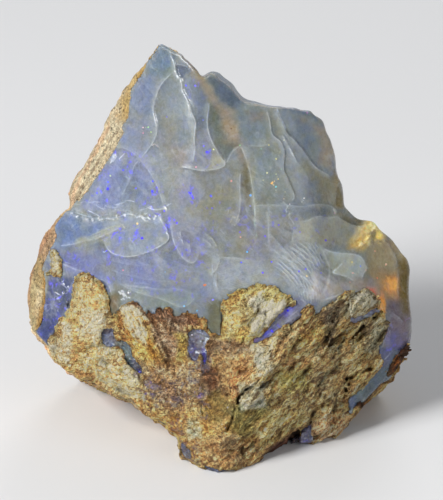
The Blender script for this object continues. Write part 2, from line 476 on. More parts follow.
TINT = canvas((138, 144, 148))
for text, rgb, soft, k in [
    ("148,80 146,66 161,43 168,47 174,62 170,78", (110, 127, 146), 5, 1),
    ("161,43 170,47 174,58 166,58", (108, 122, 136), 4, 0.8),
    ("126,128 130,96 140,76 160,76 156,100 155,122 140,128", (121, 132, 159), 7, 1),
    ("118,132 128,118 157,116 158,138 146,158 120,146", (129, 138, 164), 6, 1),
    ("150,116 157,116 158,134 152,140", (152, 160, 172), 4, 0.8),
    ("80,208 88,186 112,152 140,156 152,178 158,204 118,212", (123, 134, 160), 9, 1),
    ("82,206 104,170 118,150 124,156 108,182 96,206", (146, 154, 190), 7, 0.7),
    ("116,146 136,150 150,166 158,190 150,186 138,166 122,156", (150, 157, 184), 6, 0.5),
    ("158,90 174,72 190,104 194,130 192,164 160,168 150,152", (129, 138, 150), 6, 1),
    ("160,110 176,120 180,160 160,166", (144, 144, 140), 9, 0.7),
    ("174,150 188,146 192,164 176,170", (150, 138, 140), 8, 0.5),
    ("180,80 196,104 196,130 190,128 186,104", (150, 158, 166), 3, 0.6),
    ("184,80 200,78 208,100 207,130 196,132 192,106", (111, 121, 137), 5, 1),
    ("196,130 208,130 224,162 196,168 193,150", (138, 142, 154), 5, 1),
    ("214,156 226,160 224,168 208,170", (168, 166, 150), 4, 0.7),
    ("175,64 190,64 196,74 184,80 176,76", (116, 126, 142), 3, 1),
    ("176,52 188,58 196,68 186,66", (112, 114, 118), 3, 0.8),
    ("190,66 204,80 214,98 208,100 196,84", (132, 128, 120), 5, 0.8),
    ("210,98 222,104 232,130 238,146 226,160 214,142 208,122", (114, 122, 118), 6, 1),
    ("204,76 224,80 244,100 246,112 232,112 216,96", (87, 99, 112), 4, 1),
    ("206,84 222,98 232,112 226,108 212,94", (112, 116, 116), 4, 0.6),
    ("188,62 200,76 216,94 228,112 238,138 250,166 244,168 230,138 218,110 200,86", (146, 133, 116), 4, 0.8),
    ("222,110 233,114 242,140 226,144", (156, 140, 122), 8, 0.75),
    ("236,104 268,106 272,138 252,146 240,138", (119, 130, 140), 6, 1),
    ("246,112 266,110 266,120 250,121", (130, 122, 112), 5, 0.7),
    ("250,148 282,146 286,166 294,198 256,204", (130, 138, 141), 6, 1),
    ("258,150 274,150 272,176 258,176", (122, 134, 146), 7, 0.6),
    ("286,140 314,168 330,204 298,204 288,178", (144, 151, 161), 7, 1),
    ("298,182 312,182 316,200 300,202", (132, 142, 156), 6, 0.6),
    ("306,160 334,176 342,206 322,204", (142, 138, 120), 7, 0.9),
    ("268,108 312,110 330,130 336,166 334,180 312,164 286,128", (142, 153, 167), 6, 1),
    ("313,124 328,128 334,150 332,170 318,160 322,142", (164, 150, 132), 6, 0.9),
    ("296,116 308,116 310,122 298,124", (150, 140, 130), 5, 0.6),
    ("276,106 308,106 320,118 300,114", (112, 130, 156), 3, 0.8),
    ("290,112 304,120 314,140 308,146 296,130", (120, 133, 152), 6, 0.6),
    ("266,205 332,205 336,216 300,222 268,218", (126, 133, 138), 5, 1),
    ("334,170 340,180 344,208 336,208 332,190", (138, 124, 88), 3, 0.8),
    ("164,172 226,170 244,172 242,216 226,232 190,222 168,204", (143, 146, 151), 9, 1),
    ("198,190 226,186 240,196 236,222 214,226 200,212", (142, 144, 134), 10, 0.8),
    ("180,176 200,180 204,200 184,206", (140, 144, 160), 8, 0.5),
    ("242,166 248,160 253,190 253,204 245,206", (124, 118, 96), 3, 0.9),
    ("252,150 256,180 258,204 254,206 250,180", (138, 138, 118), 2, 0.6),
    ("56,214 104,220 112,236 84,246 56,248 52,236", (116, 133, 170), 7, 1),
    ("56,222 74,216 84,226 64,238", (100, 122, 170), 6, 0.7),
    ("108,219 160,216 172,238 150,252 116,250 104,236", (142, 151, 170), 7, 1),
    ("76,241 120,224 125,229 121,233 80,248 72,246", (158, 161, 148), 2.5, 0.8),
    ("52,250 84,254 104,262 110,286 92,278 72,276 60,262", (124, 131, 166), 6, 1),
    ("100,252 148,256 200,262 214,290 190,300 130,288 108,280", (131, 139, 167), 9, 1),
    ("168,220 206,224 204,258 188,262 172,246", (138, 142, 170), 7, 0.8),
    ("166,212 196,216 194,236 172,232", (146, 150, 166), 6, 0.6),
    ("124,286 160,290 196,292 194,306 170,312 140,300", (136, 146, 148), 6, 1),
    ("204,262 262,258 276,284 244,288 214,298", (151, 157, 167), 8, 1),
    ("212,272 232,268 244,280 226,290", (164, 170, 182), 6, 0.5),
    ("236,212 296,220 300,250 268,262 232,254", (137, 138, 139), 9, 0.9),
    ("256,236 288,240 286,260 262,262", (128, 128, 138), 7, 0.6),
    ("298,218 350,220 354,246 318,248 300,240", (156, 157, 148), 8, 1),
    ("276,246 322,248 344,286 320,298 292,290 278,264", (147, 153, 160), 7, 1),
    ("322,248 362,254 368,268 360,280 332,274", (176, 183, 180), 5, 1),
    ("316,276 356,282 350,294 322,300 308,294", (188, 184, 188), 6, 1),
    ("340,216 352,218 366,222 360,228 346,224", (122, 116, 92), 3, 0.8),
    ("350,246 356,230 370,220 380,228 374,240 362,248", (226, 206, 146), 6, 1),
    ("366,224 376,221 382,230 374,236", (252, 232, 150), 4, 1),
    ("358,236 368,230 372,238 362,246", (236, 208, 116), 4, 0.8),
    ("374,232 386,234 384,242 376,242", (232, 202, 110), 4, 0.8),
    ("366,244 384,238 398,252 398,274 384,282 370,272", (166, 154, 126), 8, 1),
    ("380,236 392,244 396,256 386,252", (158, 138, 98), 5, 0.7),
    ("397,258 404,258 410,272 410,300 400,302 398,276", (100, 86, 12), 6, 1),
    ("373,274 386,270 402,272 404,300 392,306 378,302", (176, 138, 84), 6, 0.9),
    ("382,279 390,276 398,279 398,289 391,294 384,290", (226, 150, 70), 4, 0.9), ("387,279 395,279 396,286 389,289", (255, 184, 84), 2.5, 0.9),
    ("379.5,291 383,294 386,302 385,311 382,316 380,306", (236, 150, 60), 2, 1), ("381,297 385,298 385,308 382,310", (255, 168, 50), 2, 0.9),
    ("394,292 400,290 402,300 397,304", (196, 132, 70), 3, 0.6),
    ("354,278 376,280 378,294 356,290", (168, 150, 136), 7, 0.8), ("366,289 375,289 378,298 369,297", (216, 128, 100), 3, 0.6),
    ("386,300 408,298 413,320 410,344 396,360 384,352 386,326", (106, 92, 106), 7, 1),
    ("386,330 396,330 398,350 388,352", (96, 94, 150), 6, 0.9),
    ("398,300 410,300 412,316 400,318", (124, 112, 100), 6, 0.8),
    ("396,334 410,330 404,350 394,354", (94, 88, 116), 4, 0.7),
    ("374,346 400,350 394,368 380,392 356,410 346,408 362,388 376,366", (74, 88, 104), 3, 1),
    ("34,330 46,300 50,278 74,280 72,304 58,326 48,346 38,340", (100, 104, 124), 6, 1),
    ("34,338 44,322 58,318 52,338 46,350", (84, 90, 140), 5, 0.9), ("46,280 52,276 56,290 50,318 46,316", (92, 96, 134), 3, 0.8),
    ("50,296 58,284 64,290 58,302", (128, 132, 142), 4, 0.7),
    ("46,262 56,262 60,280 50,288", (106, 110, 150), 4, 0.8),
    ("108,292 122,292 122,312 112,322 108,310", (118, 122, 114), 3, 1),
    ("110,296 118,296 118,310 112,312", (132, 112, 88), 3, 0.7),
    ("203,298 223,302 222,336 206,336", (114, 115, 98), 4, 1),
    ("196,296 208,300 206,320 198,316", (130, 136, 140), 4, 0.7),
    ("186,326 208,330 206,366 186,366", (126, 126, 144), 3, 1),
    ("194,332 206,334 204,346 196,346", (146, 146, 160), 3, 0.7),
    ("98,326 120,330 120,350 100,350", (94, 102, 130), 3, 1),
    ("114,342 142,344 142,374 114,372", (98, 114, 126), 3, 1),
    ("246,344 250,334 282,306 298,296 314,304 300,320 262,346", (108, 110, 138), 4, 1),
    ("276,314 290,306 294,312 280,322", (92, 88, 160), 4, 0.8),
    ("348,324 352,314 376,304 380,312 352,326", (108, 104, 134), 3, 1),
    ("286,440 294,424 314,424 314,446 288,448", (84, 84, 118), 3, 1),
    ("176,440 196,444 196,464 178,460", (108, 106, 130), 3, 1),
    ("204,462 240,466 240,480 204,480", (94, 98, 130), 3, 1),
]:
    paint(TINT, text, rgb, soft, k)

for text, rgb, soft, k in [
    ("348,249 355,240 361,232 365,226 374,220 380,226 376,233 372,239 366,244 358,249", (200, 174, 118), 3, 1),
    ("352,247 355,241 360,234 363,228 369,224 375,221 378,225 374,231 371,236 366,241 360,246 354,248", (250, 216, 142), 1.4, 1),
    ("366,229 371,224 376,221.5 377,226 371,232 366,236", (255, 243, 176), 1.2, 1),
    ("359,243 366,238 372,233 371,237 365,242 358,246", (255, 224, 140), 1.0, 0.9),
    ("355,244 359,238 362,236 361,240 357,245", (255, 222, 130), 1.2, 0.8),
    ("371,232 378,228 379,236 374,242 370,240", (148, 138, 98), 1.6, 0.9),
    ("377,231 381,231 385,238 381,241 377,238", (250, 218, 116), 1.4, 1),
    ("384,238 392,242 398,250 394,256 386,246", (150, 132, 118), 3, 0.8),
    ("380,298 385,300 386,307 385,314 382,313 380,305", (255, 172, 44), 1.3, 1),
    ("388,281 396,279 399,285 395,290 388,289", (255, 186, 84), 1.6, 1),
    ("390,240 399,243 406,254 409,266 400,268 395,256", (176, 162, 134), 3, 0.85), ("158,262 204,262 206,288 160,288", (152, 158, 166), 6, 0.7),
    ("386,246 394,250 398,262 392,272 384,264", (168, 158, 134), 4, 0.6),
    ("366,288 372,289 377,297 372,298 367,294", (232, 112, 80), 1.6, 0.8),
    ("398,264 405,260 411,272 410,312 403,314 399,290", (108, 88, 8), 5, 0.9),
    ("101,334 102,329 107,327 113,328 114,332 108,334", (74, 62, 70), 2, 0.95),
    ("103,334 112,334 117,341 112,347 104,344", (116, 122, 152), 3, 0.9),
    ("117,341 128,343 132,352 128,362 120,360", (98, 116, 128), 3, 0.9),
    ("124,352 131,350 132,358 126,362", (120, 138, 134), 2, 0.7),
    ("131,358 141,366 141,374 134,368", (114, 108, 132), 2, 0.9), ("138,368 142,370 141,375 138,374", (80, 72, 190), 1.5, 0.9),
    ("115,345 121,347 119,352", (150, 120, 92), 1.5, 0.8),
    ("188,331 206,331 208,340 196,350 190,344", (124, 120, 128), 3, 0.95), ("189,340 196,344 197,362 190,360", (96, 88, 112), 3, 0.95),
    ("198,334 206,334 204,346 198,348", (146, 146, 142), 2, 0.7), ("196,350 204,348 204,362 196,362", (104, 92, 100), 3, 0.8), ("202,348 207,352 206,366 203,364", (92, 80, 196), 1.5, 0.9),
    ("246,345 250,340 262,332 262,342", (118, 84, 66), 3, 0.8), ("256,342 262,333 276,322 276,334 262,342", (84, 88, 128), 3, 0.9),
    ("276,322 288,310 300,306 300,316 284,328", (116, 116, 124), 3, 0.9), ("280,314 288,308 294,308 286,316", (86, 76, 190), 2, 0.9),
    ("262,334 270,328 274,330 266,338", (74, 74, 190), 2, 0.8), ("300,304 314,298 316,306 304,312", (134, 138, 156), 3, 0.8),
    ("284,448 292,437 299,432 302,448", (66, 46, 40), 4, 0.95), ("300,432 311,426 311,443 302,445", (84, 78, 124), 2.5, 0.9),
    ("376,348 394,350 388,368 376,368", (80, 80, 126), 4, 0.8), ("372,366 390,368 376,386 364,380", (82, 98, 112), 3, 0.8),
    ("356,384 370,382 362,396 352,400", (98, 122, 140), 3, 0.8), ("350,398 358,396 356,408 350,408", (82, 98, 138), 2, 0.8),
]:
    paint(TINT, text, rgb, soft, k, 0.5)
_m = (sstep(3.0, -1.0, SD_POCKET) * sstep(0.05, 0.5, noise(GX / 2.6, GY / 2.6, 91.0 + 0 * GX)) * 0.55)[..., None]
TINT[:] = TINT * (1 - _m) + lin(120, 96, 74).astype(np.float32) * _m
_m = (sstep(3.0, -1.0, SD_POCKET) * sstep(0.1, 0.5, noise(GX / 1.9, GY / 1.9, 97.0 + 0 * GX)) * 0.5)[..., None]
TINT[:] = TINT * (1 - _m) + lin(190, 196, 206).astype(np.float32) * _m
_m = sstep(4, -4, poly_map(P2("36,338 46,300 50,280 62,276 72,282 70,304 58,322 46,346"), 20, GX + 0.5 * _sx, GY + 0.5 * _sy))[..., None]
TINT *= 1 + _m * (np.array((0.70, 0.76, 0.88), np.float32) - 1)
TINT *= (1 - 0.24 * sstep(2.5, -1.0, SD_POCKET) * sstep(330, 315, GX))[..., None]
# tan, olive and blue clouds all over
for rgb, sc, seed, k in [((1.02, 0.95, 0.74), 15.0, 3.3, 0.62), ((0.80, 0.88, 1.06), 11.0, 8.3, 0.55), ((1.16, 1.16, 1.12), 8.0, 13.3, 0.6),
                         ((0.86, 0.80, 0.66), 5.0, 17.3, 0.45), ((0.92, 0.86, 1.16), 6.0, 23.3, 0.35)]:
    n = noise(GX / sc, GY / (sc * 1.4), seed + 0 * GX) + 0.5 * noise(GX / (sc * 0.4), GY / (sc * 0.5), seed + 1 + 0 * GX)
    _m = (k * sstep(0.0, 0.55, n))[..., None]
    TINT *= 1 + _m * (np.array(rgb, np.float32) - 1)
TINT *= np.array((0.860, 0.865, 0.795), np.float32) * (1 + 0.155 * sstep(200, 330, GX))[..., None]

# where the violet fire shows (0..1) and where the opal is dusty
FIRE = np.full(GX.shape, 0.18, np.float32)
for text, v, soft in [
    ("84,206 114,150 150,156 160,206 118,214", 1.0, 8), ("104,206 160,206 206,220 206,262 160,262 110,250", 0.85, 10),
    ("182,80 196,78 206,100 200,112 188,98", 0.55, 5), ("196,138 222,158 216,170 196,168", 0.6, 4),
    ("60,250 210,258 210,300 120,290 70,284", 0.7, 10), ("170,180 210,180 222,222 190,226", 0.5, 10),
    ("206,200 330,216 330,268 250,270 210,256", 0.45, 10), ("130,70 156,70 152,120 128,126", 0.15, 6),
    ("36,340 50,282 76,284 60,330", 0.8, 4), ("246,344 282,306 314,304 262,346", 0.55, 3),
    ("384,326 400,326 400,352 384,352", 0.9, 4), ("186,326 208,330 206,366 186,366", 0.3, 3),
    ("236,104 336,110 340,200 256,204", 0.02, 8), ("208,98 240,140 226,160 208,130", 0.02, 5),
    ("345,220 412,236 412,300 366,280", 0.0, 6), ("120,148 134,154 150,170 160,192 164,212 156,208 148,186 136,168 122,158", 1.0, 4),
    ("186,188 200,188 200,202 188,202", 0.9, 4), ("202,142 212,146 214,158 204,158", 0.8, 3), ("206,190 216,192 218,212 206,208", 0.7, 4), ("286,424 316,424 316,448 284,448", 0.6, 3),
]:
    mark(FIRE, text, v, soft)
DUST = np.zeros(GX.shape, np.float32)
for text, v, soft in [
    ("276,246 322,248 344,286 320,298 292,290 278,264", 0.5, 6), ("210,256 262,256 264,290 212,300", 0.35, 6),
    ("313,126 328,128 333,150 330,168 320,160 324,142", 0.5, 4), ("222,116 232,118 238,136 226,138", 0.7, 3),
    ("66,206 170,206 170,222 66,222", 0.45, 4),
]:
    mark(DUST, text, v, soft)

# pale rim where the thin top edge catches light
rim_line = smooth_line(P2("176,53 184,58.5 191,64 196,69 200,75 203,77.5 208,74.5 212,73.6 218,78.5 225,83.5 231,88 236,96 241,101 248,104 260,106 274,108.3 288,108.3 300,110.6 311,112.5 318,118.5 323.5,122.5 326,133 330,141 333.5,152 334.8,165 336.5,177 340.8,186 342.3,196 343,206"), 1)
(ys, xs), d, side, end, arc = line_map(rim_line, 12)
ink(ys, xs, side * d + 0.2, np.where(end, np.exp(-d), 1.0), 0.55, (196, 186, 182))

# hair lines, glints and small strokes on the opal
for text, line, rgb in [
    ("116,153 113,158 110,164", 1.0, (240, 244, 250)), ("117,155 115,159 112,163", 0.8, (226, 232, 246)), ("114,153 112,157 110,161", 0.7, (214, 222, 244)), ("124,176 128,178.5 131,180.5", 0.7, (196, 226, 214)), ("118,160 122,156 126,152", 0.7, (214, 222, 240)),
    ("153,143 157,146 161,149", 0.6, (214, 186, 176)), ("150,66 154,69 158,71", 0.35, (200, 206, 200)),
    ("125,176 128,178 130,180", 0.7, (186, 226, 204)), ("205,157 206,160 206,163", 0.5, (206, 180, 176)),
    ("207,101 209,108 208,115 207.5,120", 0.5, (150, 160, 226)), ("160,171 168,168 178,167", 0.3, (170, 166, 148)),
    ("178,168 177,176 172,184 168,194 165,202", 0.3, (158, 160, 140)), ("158,196 162,184 166,176", 0.15, (150, 150, 150)),
    ("70,210 78,213.5 86,216 94,217.5", 0.75, (206, 220, 240)), ("94,217.5 104,218.5 116,218 126,214", 0.6, (200, 214, 236)),
    ("127,214 131,214.5 136,215.5", 1.0, (244, 250, 252)), ("136,216 142,217 148,218", 0.5, (196, 206, 236)),
    ("146,217 148.5,218 151,220", 1.0, (248, 252, 246)), ("104,205 108,207 112,208", 0.6, (206, 212, 244)),
    ("108,205 114,208 119,207", 0.5, (206, 212, 244)), ("146,207 152,209.5 158,210 164,208", 0.75, (224, 230, 248)),
    ("158,213 159,218 162,223 166,228 168,233", 0.85, (206, 226, 220)), ("162,210 166,206 172,203", 0.5, (214, 222, 240)),
    ("180,231 181,237 183,243", 1.0, (214, 226, 246)), ("189,243 190,248 190,253", 0.7, (190, 200, 240)),
    ("60,246 66,245 71,244", 0.7, (220, 228, 240)), ("64,262 68,263 72,264", 0.6, (214, 224, 236)),
    ("54,292 57,293 59,295", 0.9, (236, 240, 250)), ("60,283 64,286 68,289", 0.7, (206, 214, 240)),
    ("66,289 68,291 70,290", 0.8, (226, 232, 246)), ("66,301 68,303", 0.8, (226, 232, 246)), ("52,304 50,308 48,311", 0.6, (200, 206, 240)),
    ("120,291 122,294 125,297", 1.0, (244, 248, 248)), ("123,292 126,296 128,299", 0.6, (220, 228, 230)),
    ("200,196 202,206 200,216 203,224", 0.15, (150, 150, 130)), ("204,170 212,178 214,190", 0.12, (150, 150, 150)),
    ("228,209 229,213", 0.8, (232, 236, 236)), ("236,215 234,219", 0.7, (226, 222, 190)), ("238,216 236,221", 0.7, (226, 222, 190)),
    ("234,214 232,218 230,224", 0.5, (206, 206, 180)), ("240,218 238,223 233,227", 0.6, (226, 226, 206)),
    ("254,206 255,214 254,222 256,232 258,240", 0.6, (176, 204, 190)), ("226,228 236,232 244,240 250,250", 0.3, (170, 176, 150)),
    ("276,106 279,114 283,122 287,131", 0.9, (198, 212, 232)), ("279,112 278,118 277,122", 0.4, (186, 190, 196)),
    ("282,134 287,143 292,152 297,162", 0.95, (222, 226, 230)), ("291,134 296,141 300,148", 0.5, (176, 180, 190)),
    ("282,201 286,204 288,207", 0.8, (206, 216, 216)), ("288,207 285,210 288,213", 0.8, (214, 222, 222)), ("288,213 292,214 294,212", 0.9, (226, 230, 230)),
    ("288,214 290,218 293,222 295,226", 0.7, (214, 220, 220)), ("284,219 280,223 278,226", 0.35, (150, 156, 160)),
    ("294,229 293,236 290,244 286,252", 0.4, (168, 170, 178)), ("268,206 267,214 268,224", 0.4, (160, 162, 164)),
    ("298,214 301,218 303,222", 0.5, (180, 182, 184)), ("319,206 320,210 321,214", 0.4, (186, 180, 160)),
    ("333,208 335,212 337,215", 0.8, (222, 216, 190)),
    ("283,250 290,254 298,260 305,265 312,270", 0.75, (196, 202, 206)), ("288,246 297,252 306,258 316,265", 0.75, (196, 204, 204)),
    ("280,254 287,260 295,266 303,273", 0.6, (190, 196, 206)), ("279,260 286,266 294,274 300,282", 0.7, (196, 206, 226)),
    ("284,270 290,276 297,282 304,287", 0.55, (180, 186, 206)), ("296,248 305,252 314,258 322,262", 0.5, (190, 198, 198)),
    ("305,247 312,250 320,255", 0.45, (186, 194, 194)), ("296,268 304,274 312,279", 0.5, (190, 196, 216)),
    ("302,290 310,293 318,295", 0.4, (186, 190, 206)), ("310,270 318,275 324,281", 0.5, (176, 182, 206)),
    ("303,287 306,292 310,297 316,300", 0.5, (190, 196, 212)),
    ("213,262 212,272 214,282 218,290", 0.6, (190, 206, 236)), ("226,266 225,276 227,286 231,292", 0.35, (176, 190, 220)),
    ("236,262 240,270 238,280", 0.3, (180, 190, 220)), ("246,266 250,274 248,284", 0.3, (180, 190, 220)),
    ("210,290 222,288 236,289 250,286", 0.4, (196, 206, 226)), ("222,282 232,278 246,276", 0.3, (186, 196, 220)),
    ("204,232 210,236 215,242 217,248", 0.5, (206, 206, 160)), ("202,240 208,242 212,246", 0.5, (206, 206, 170)),
    ("110,260 124,264 140,266 160,266", 0.3, (176, 186, 216)), ("116,272 130,276 150,280 176,282", 0.3, (176, 190, 206)),
    ("150,262 166,270 184,276 204,280", 0.25, (176, 190, 206)), ("180,264 190,268 200,266", 0.3, (170, 176, 226)),
    ("218,292 221,300 222,310 220,320", 0.5, (176, 186, 190)), ("190,300 197,304 203,310 206,316", 0.4, (160, 176, 176)),
    ("206,338 208,338.5 210,340", 1.0, (250, 252, 255)), ("196,332 200,332 204,335", 0.5, (196, 196, 226)),
    ("100,336 104,334 108,336", 0.5, (176, 186, 214)), ("108,340 111,343 115,345", 0.9, (232, 238, 246)),
    ("122,346 126,350 129,356", 0.5, (170, 196, 206)), ("124,356 127,358 130,357", 0.7, (200, 226, 226)), ("134,358 136,361", 0.8, (236, 236, 226)),
    ("262,338 272,332 282,326 292,318", 0.6, (170, 172, 190)), ("266,332 274,325 284,316 292,309", 0.6, (186, 186, 196)), ("258,343 266,338 274,333", 0.6, (190, 180, 176)), ("284,322 292,315 300,309", 0.6, (178, 178, 190)), ("272,328 280,322 288,316", 0.4, (70, 66, 120)), ("268,340 280,334 292,326 302,318", 0.4, (160, 166, 220)),
    ("270,334 271,335 273,334.5", 0.9, (236, 240, 250)), ("284,318 290,314 296,308", 0.4, (140, 150, 236)),
    ("391,312 397,316 403,321", 0.6, (190, 186, 200)), ("404,321 409,318 411,318", 0.7, (190, 150, 226)),
    ("403,320 400,326 398,334", 0.3, (150, 150, 196)), ("409,344 405,350 401,355", 0.4, (190, 170, 176)),
    ("384,360 388,356 391,352", 0.6, (206, 210, 226)), ("366,242 370,234 376,226", 0.7, (250, 236, 170)),
    ("362,246 368,241 374,238 382,240", 0.5, (236, 214, 150)), ("376,222 380,230 384,236", 0.6, (236, 214, 150)),
    ("394,242 392,250 393,258", 0.4, (196, 176, 140)),
    ("366,226 371,223 375,222", 0.9, (255, 244, 190)), ("370,231 374,228 379,230", 0.9, (255, 240, 170)), ("362,234 366,231 370,228", 0.8, (250, 226, 140)),
    ("356,241 360,237 363,234", 0.8, (250, 220, 130)), ("352,246 357,244 362,245", 0.8, (246, 214, 130)), ("364,240 369,236 375,234", 0.8, (255, 232, 150)),
    ("372,240 376,236 381,236", 0.6, (230, 206, 150)), ("358,229 362,231 364,236", 0.6, (236, 206, 130)), ("379,228 383,233 386,240", 0.6, (230, 210, 160)), ("377,240 376,248 378,256", 0.3, (190, 170, 130)),
    ("78,241 92,235 106,229 120,224", 0.6, (190, 192, 166)), ("80,247.5 94,243 108,238 122,232", 0.5, (176, 180, 156)),
    ("120,224 123,225 124,229", 0.5, (200, 200, 176)),
    ("260,107 266,110 270,112", 0.3, (176, 180, 186)), ("262,206 274,214 283,222 292,232", 0.4, (170, 172, 168)), ("296,206 290,216 284,226 282,238", 0.4, (172, 172, 166)), ("300,222 296,232 298,244", 0.35, (176, 176, 170)), ("272,240 262,248 256,256", 0.35, (170, 176, 182)), ("246,226 254,236 262,250", 0.3, (168, 172, 178)), ("228,166 232,180 230,196", 0.25, (166, 168, 160)), ("296,160 304,170 310,182", 0.25, (160, 168, 176)), ("276,148 281,158 282,168", 0.25, (160, 168, 176)), ("250,119 258,118 266,117", 0.35, (160, 150, 140)),
]:
    stroke(text, line, rgb, 0.03)

_rh = np.random.RandomState(17)
for k in range(26):
    ax0, ay0 = 296 + 22 * _rh.rand(), 277 + 26 * _rh.rand()
    n = _rh.uniform(3, 8)
    t = math.radians(_rh.uniform(30, 75))
    stroke("%.1f,%.1f %.1f,%.1f" % (ax0, ay0, ax0 + n * math.cos(t), ay0 + n * math.sin(t)), _rh.uniform(0.4, 0.8), [(200, 208, 216), (120, 126, 140)][k % 2], 0.04)
for cx1, cy1, wx1, wy1, count, e1 in [(123, 294, 5, 5, 12, 1.0), (66, 287, 8, 6, 9, 0.9), (52, 306, 7, 9, 9, 0.75), (127, 358, 6, 6, 7, 0.9), (198, 348, 7, 12, 12, 0.9), (206, 341, 3, 4, 5, 1.0), (142, 216, 10, 3, 8, 0.9)]:
    for k in range(count):
        ax0, ay0 = cx1 + wx1 * _rh.uniform(-1, 1), cy1 + wy1 * _rh.uniform(-1, 1)
        n = _rh.uniform(1.2, 3.6); t = math.radians(_rh.uniform(10, 70))
        stroke("%.1f,%.1f %.1f,%.1f" % (ax0, ay0, ax0 + n * math.cos(t), ay0 + n * math.sin(t)), e1, (238, 244, 250), 0.05)
_rs = np.random.RandomState(41)
for cx0, cy0, wx0, wy0, count, ang, spread, rgb, lo, hi in [
    (300, 262, 34, 24, 34, 36, 16, (190, 198, 210), 0.25, 0.6), (240, 262, 34, 30, 26, 60, 40, (178, 188, 208), 0.2, 0.5),
    (150, 270, 48, 20, 26, 12, 16, (176, 188, 208), 0.15, 0.45), (130, 235, 40, 14, 16, -14, 20, (190, 198, 220), 0.15, 0.4),
    (200, 210, 40, 30, 18, 70, 40, (166, 170, 172), 0.12, 0.3), (290, 180, 34, 50, 22, 68, 18, (156, 166, 176), 0.12, 0.35),
    (330, 232, 22, 14, 10, 20, 30, (186, 184, 160), 0.15, 0.35), (388, 262, 14, 24, 22, 75, 30, (186, 168, 130), 0.25, 0.6), (388, 270, 12, 20, 12, 70, 40, (126, 108, 74), 0.25, 0.55), (363, 235, 9, 9, 24, -48, 22, (255, 240, 176), 0.45, 0.95), (366, 236, 10, 9, 12, -50, 30, (150, 122, 66), 0.35, 0.7), (381, 236, 4, 5, 8, 60, 30, (250, 226, 150), 0.4, 0.8), (390, 284, 6, 7, 12, 70, 24, (255, 206, 120), 0.4, 0.8), (383, 304, 2, 8, 8, 82, 14, (255, 206, 110), 0.5, 0.9), (392, 284, 8, 10, 8, 70, 30, (150, 104, 60), 0.3, 0.6), (376, 262, 12, 12, 12, 40, 50, (186, 176, 150), 0.25, 0.5),
    (170, 130, 22, 50, 14, 96, 16, (160, 168, 176), 0.12, 0.3), (60, 300, 14, 24, 8, -50, 30, (206, 214, 236), 0.2, 0.6),
    (116, 208, 44, 7, 22, 5, 30, (206, 214, 232), 0.25, 0.7), (394, 330, 12, 22, 10, 60, 50, (160, 150, 186), 0.15, 0.4),
]:
    for _k in range(count):
        x = cx0 + wx0 * _rs.uniform(-1, 1); y = cy0 + wy0 * _rs.uniform(-1, 1)
        a = math.radians(ang + spread * _rs.uniform(-1, 1)); n = _rs.uniform(5, 17); bend = _rs.uniform(-0.25, 0.25)
        e = _rs.uniform(lo, hi)
        pts = []
        for t in (-0.5, 0.0, 0.5):
            pts.append("%.1f,%.1f" % (x + n * t * math.cos(a) - bend * n * (0.25 - t * t) * 2 * math.sin(a),
                                      y + n * t * math.sin(a) + bend * n * (0.25 - t * t) * 2 * math.cos(a)))
        stroke(" ".join(pts), e, rgb, 0.012)

# two combs of ripples: coordinate across them and where they show
_al = GX * 0.77 + GY * 0.64; _ac = GX * 0.64 - GY * 0.77
COMB_C = (_ac + 0.010 * (_al - 392.0) ** 2) / 3.7
COMB_M = sstep(4, -4, poly_map(P2("277,268 281,256 292,246 306,241 318,244 324,256 318,270 308,280 297,284 286,278"), 20))
_al = GX * 0.42 + GY * 0.91; _ac = GX * 0.91 - GY * 0.42
COMB_D = (_ac + 0.014 * (_al - 390.0) ** 2) / 2.7
COMB_N = np.maximum(sstep(4, -4, poly_map(P2("297,278 316,274 322,288 318,302 304,300 294,290"), 20)) * 0.6, 0.22 * sstep(6, -6, poly_map(P2("212,262 236,256 258,262 262,282 240,290 216,288"), 24)))

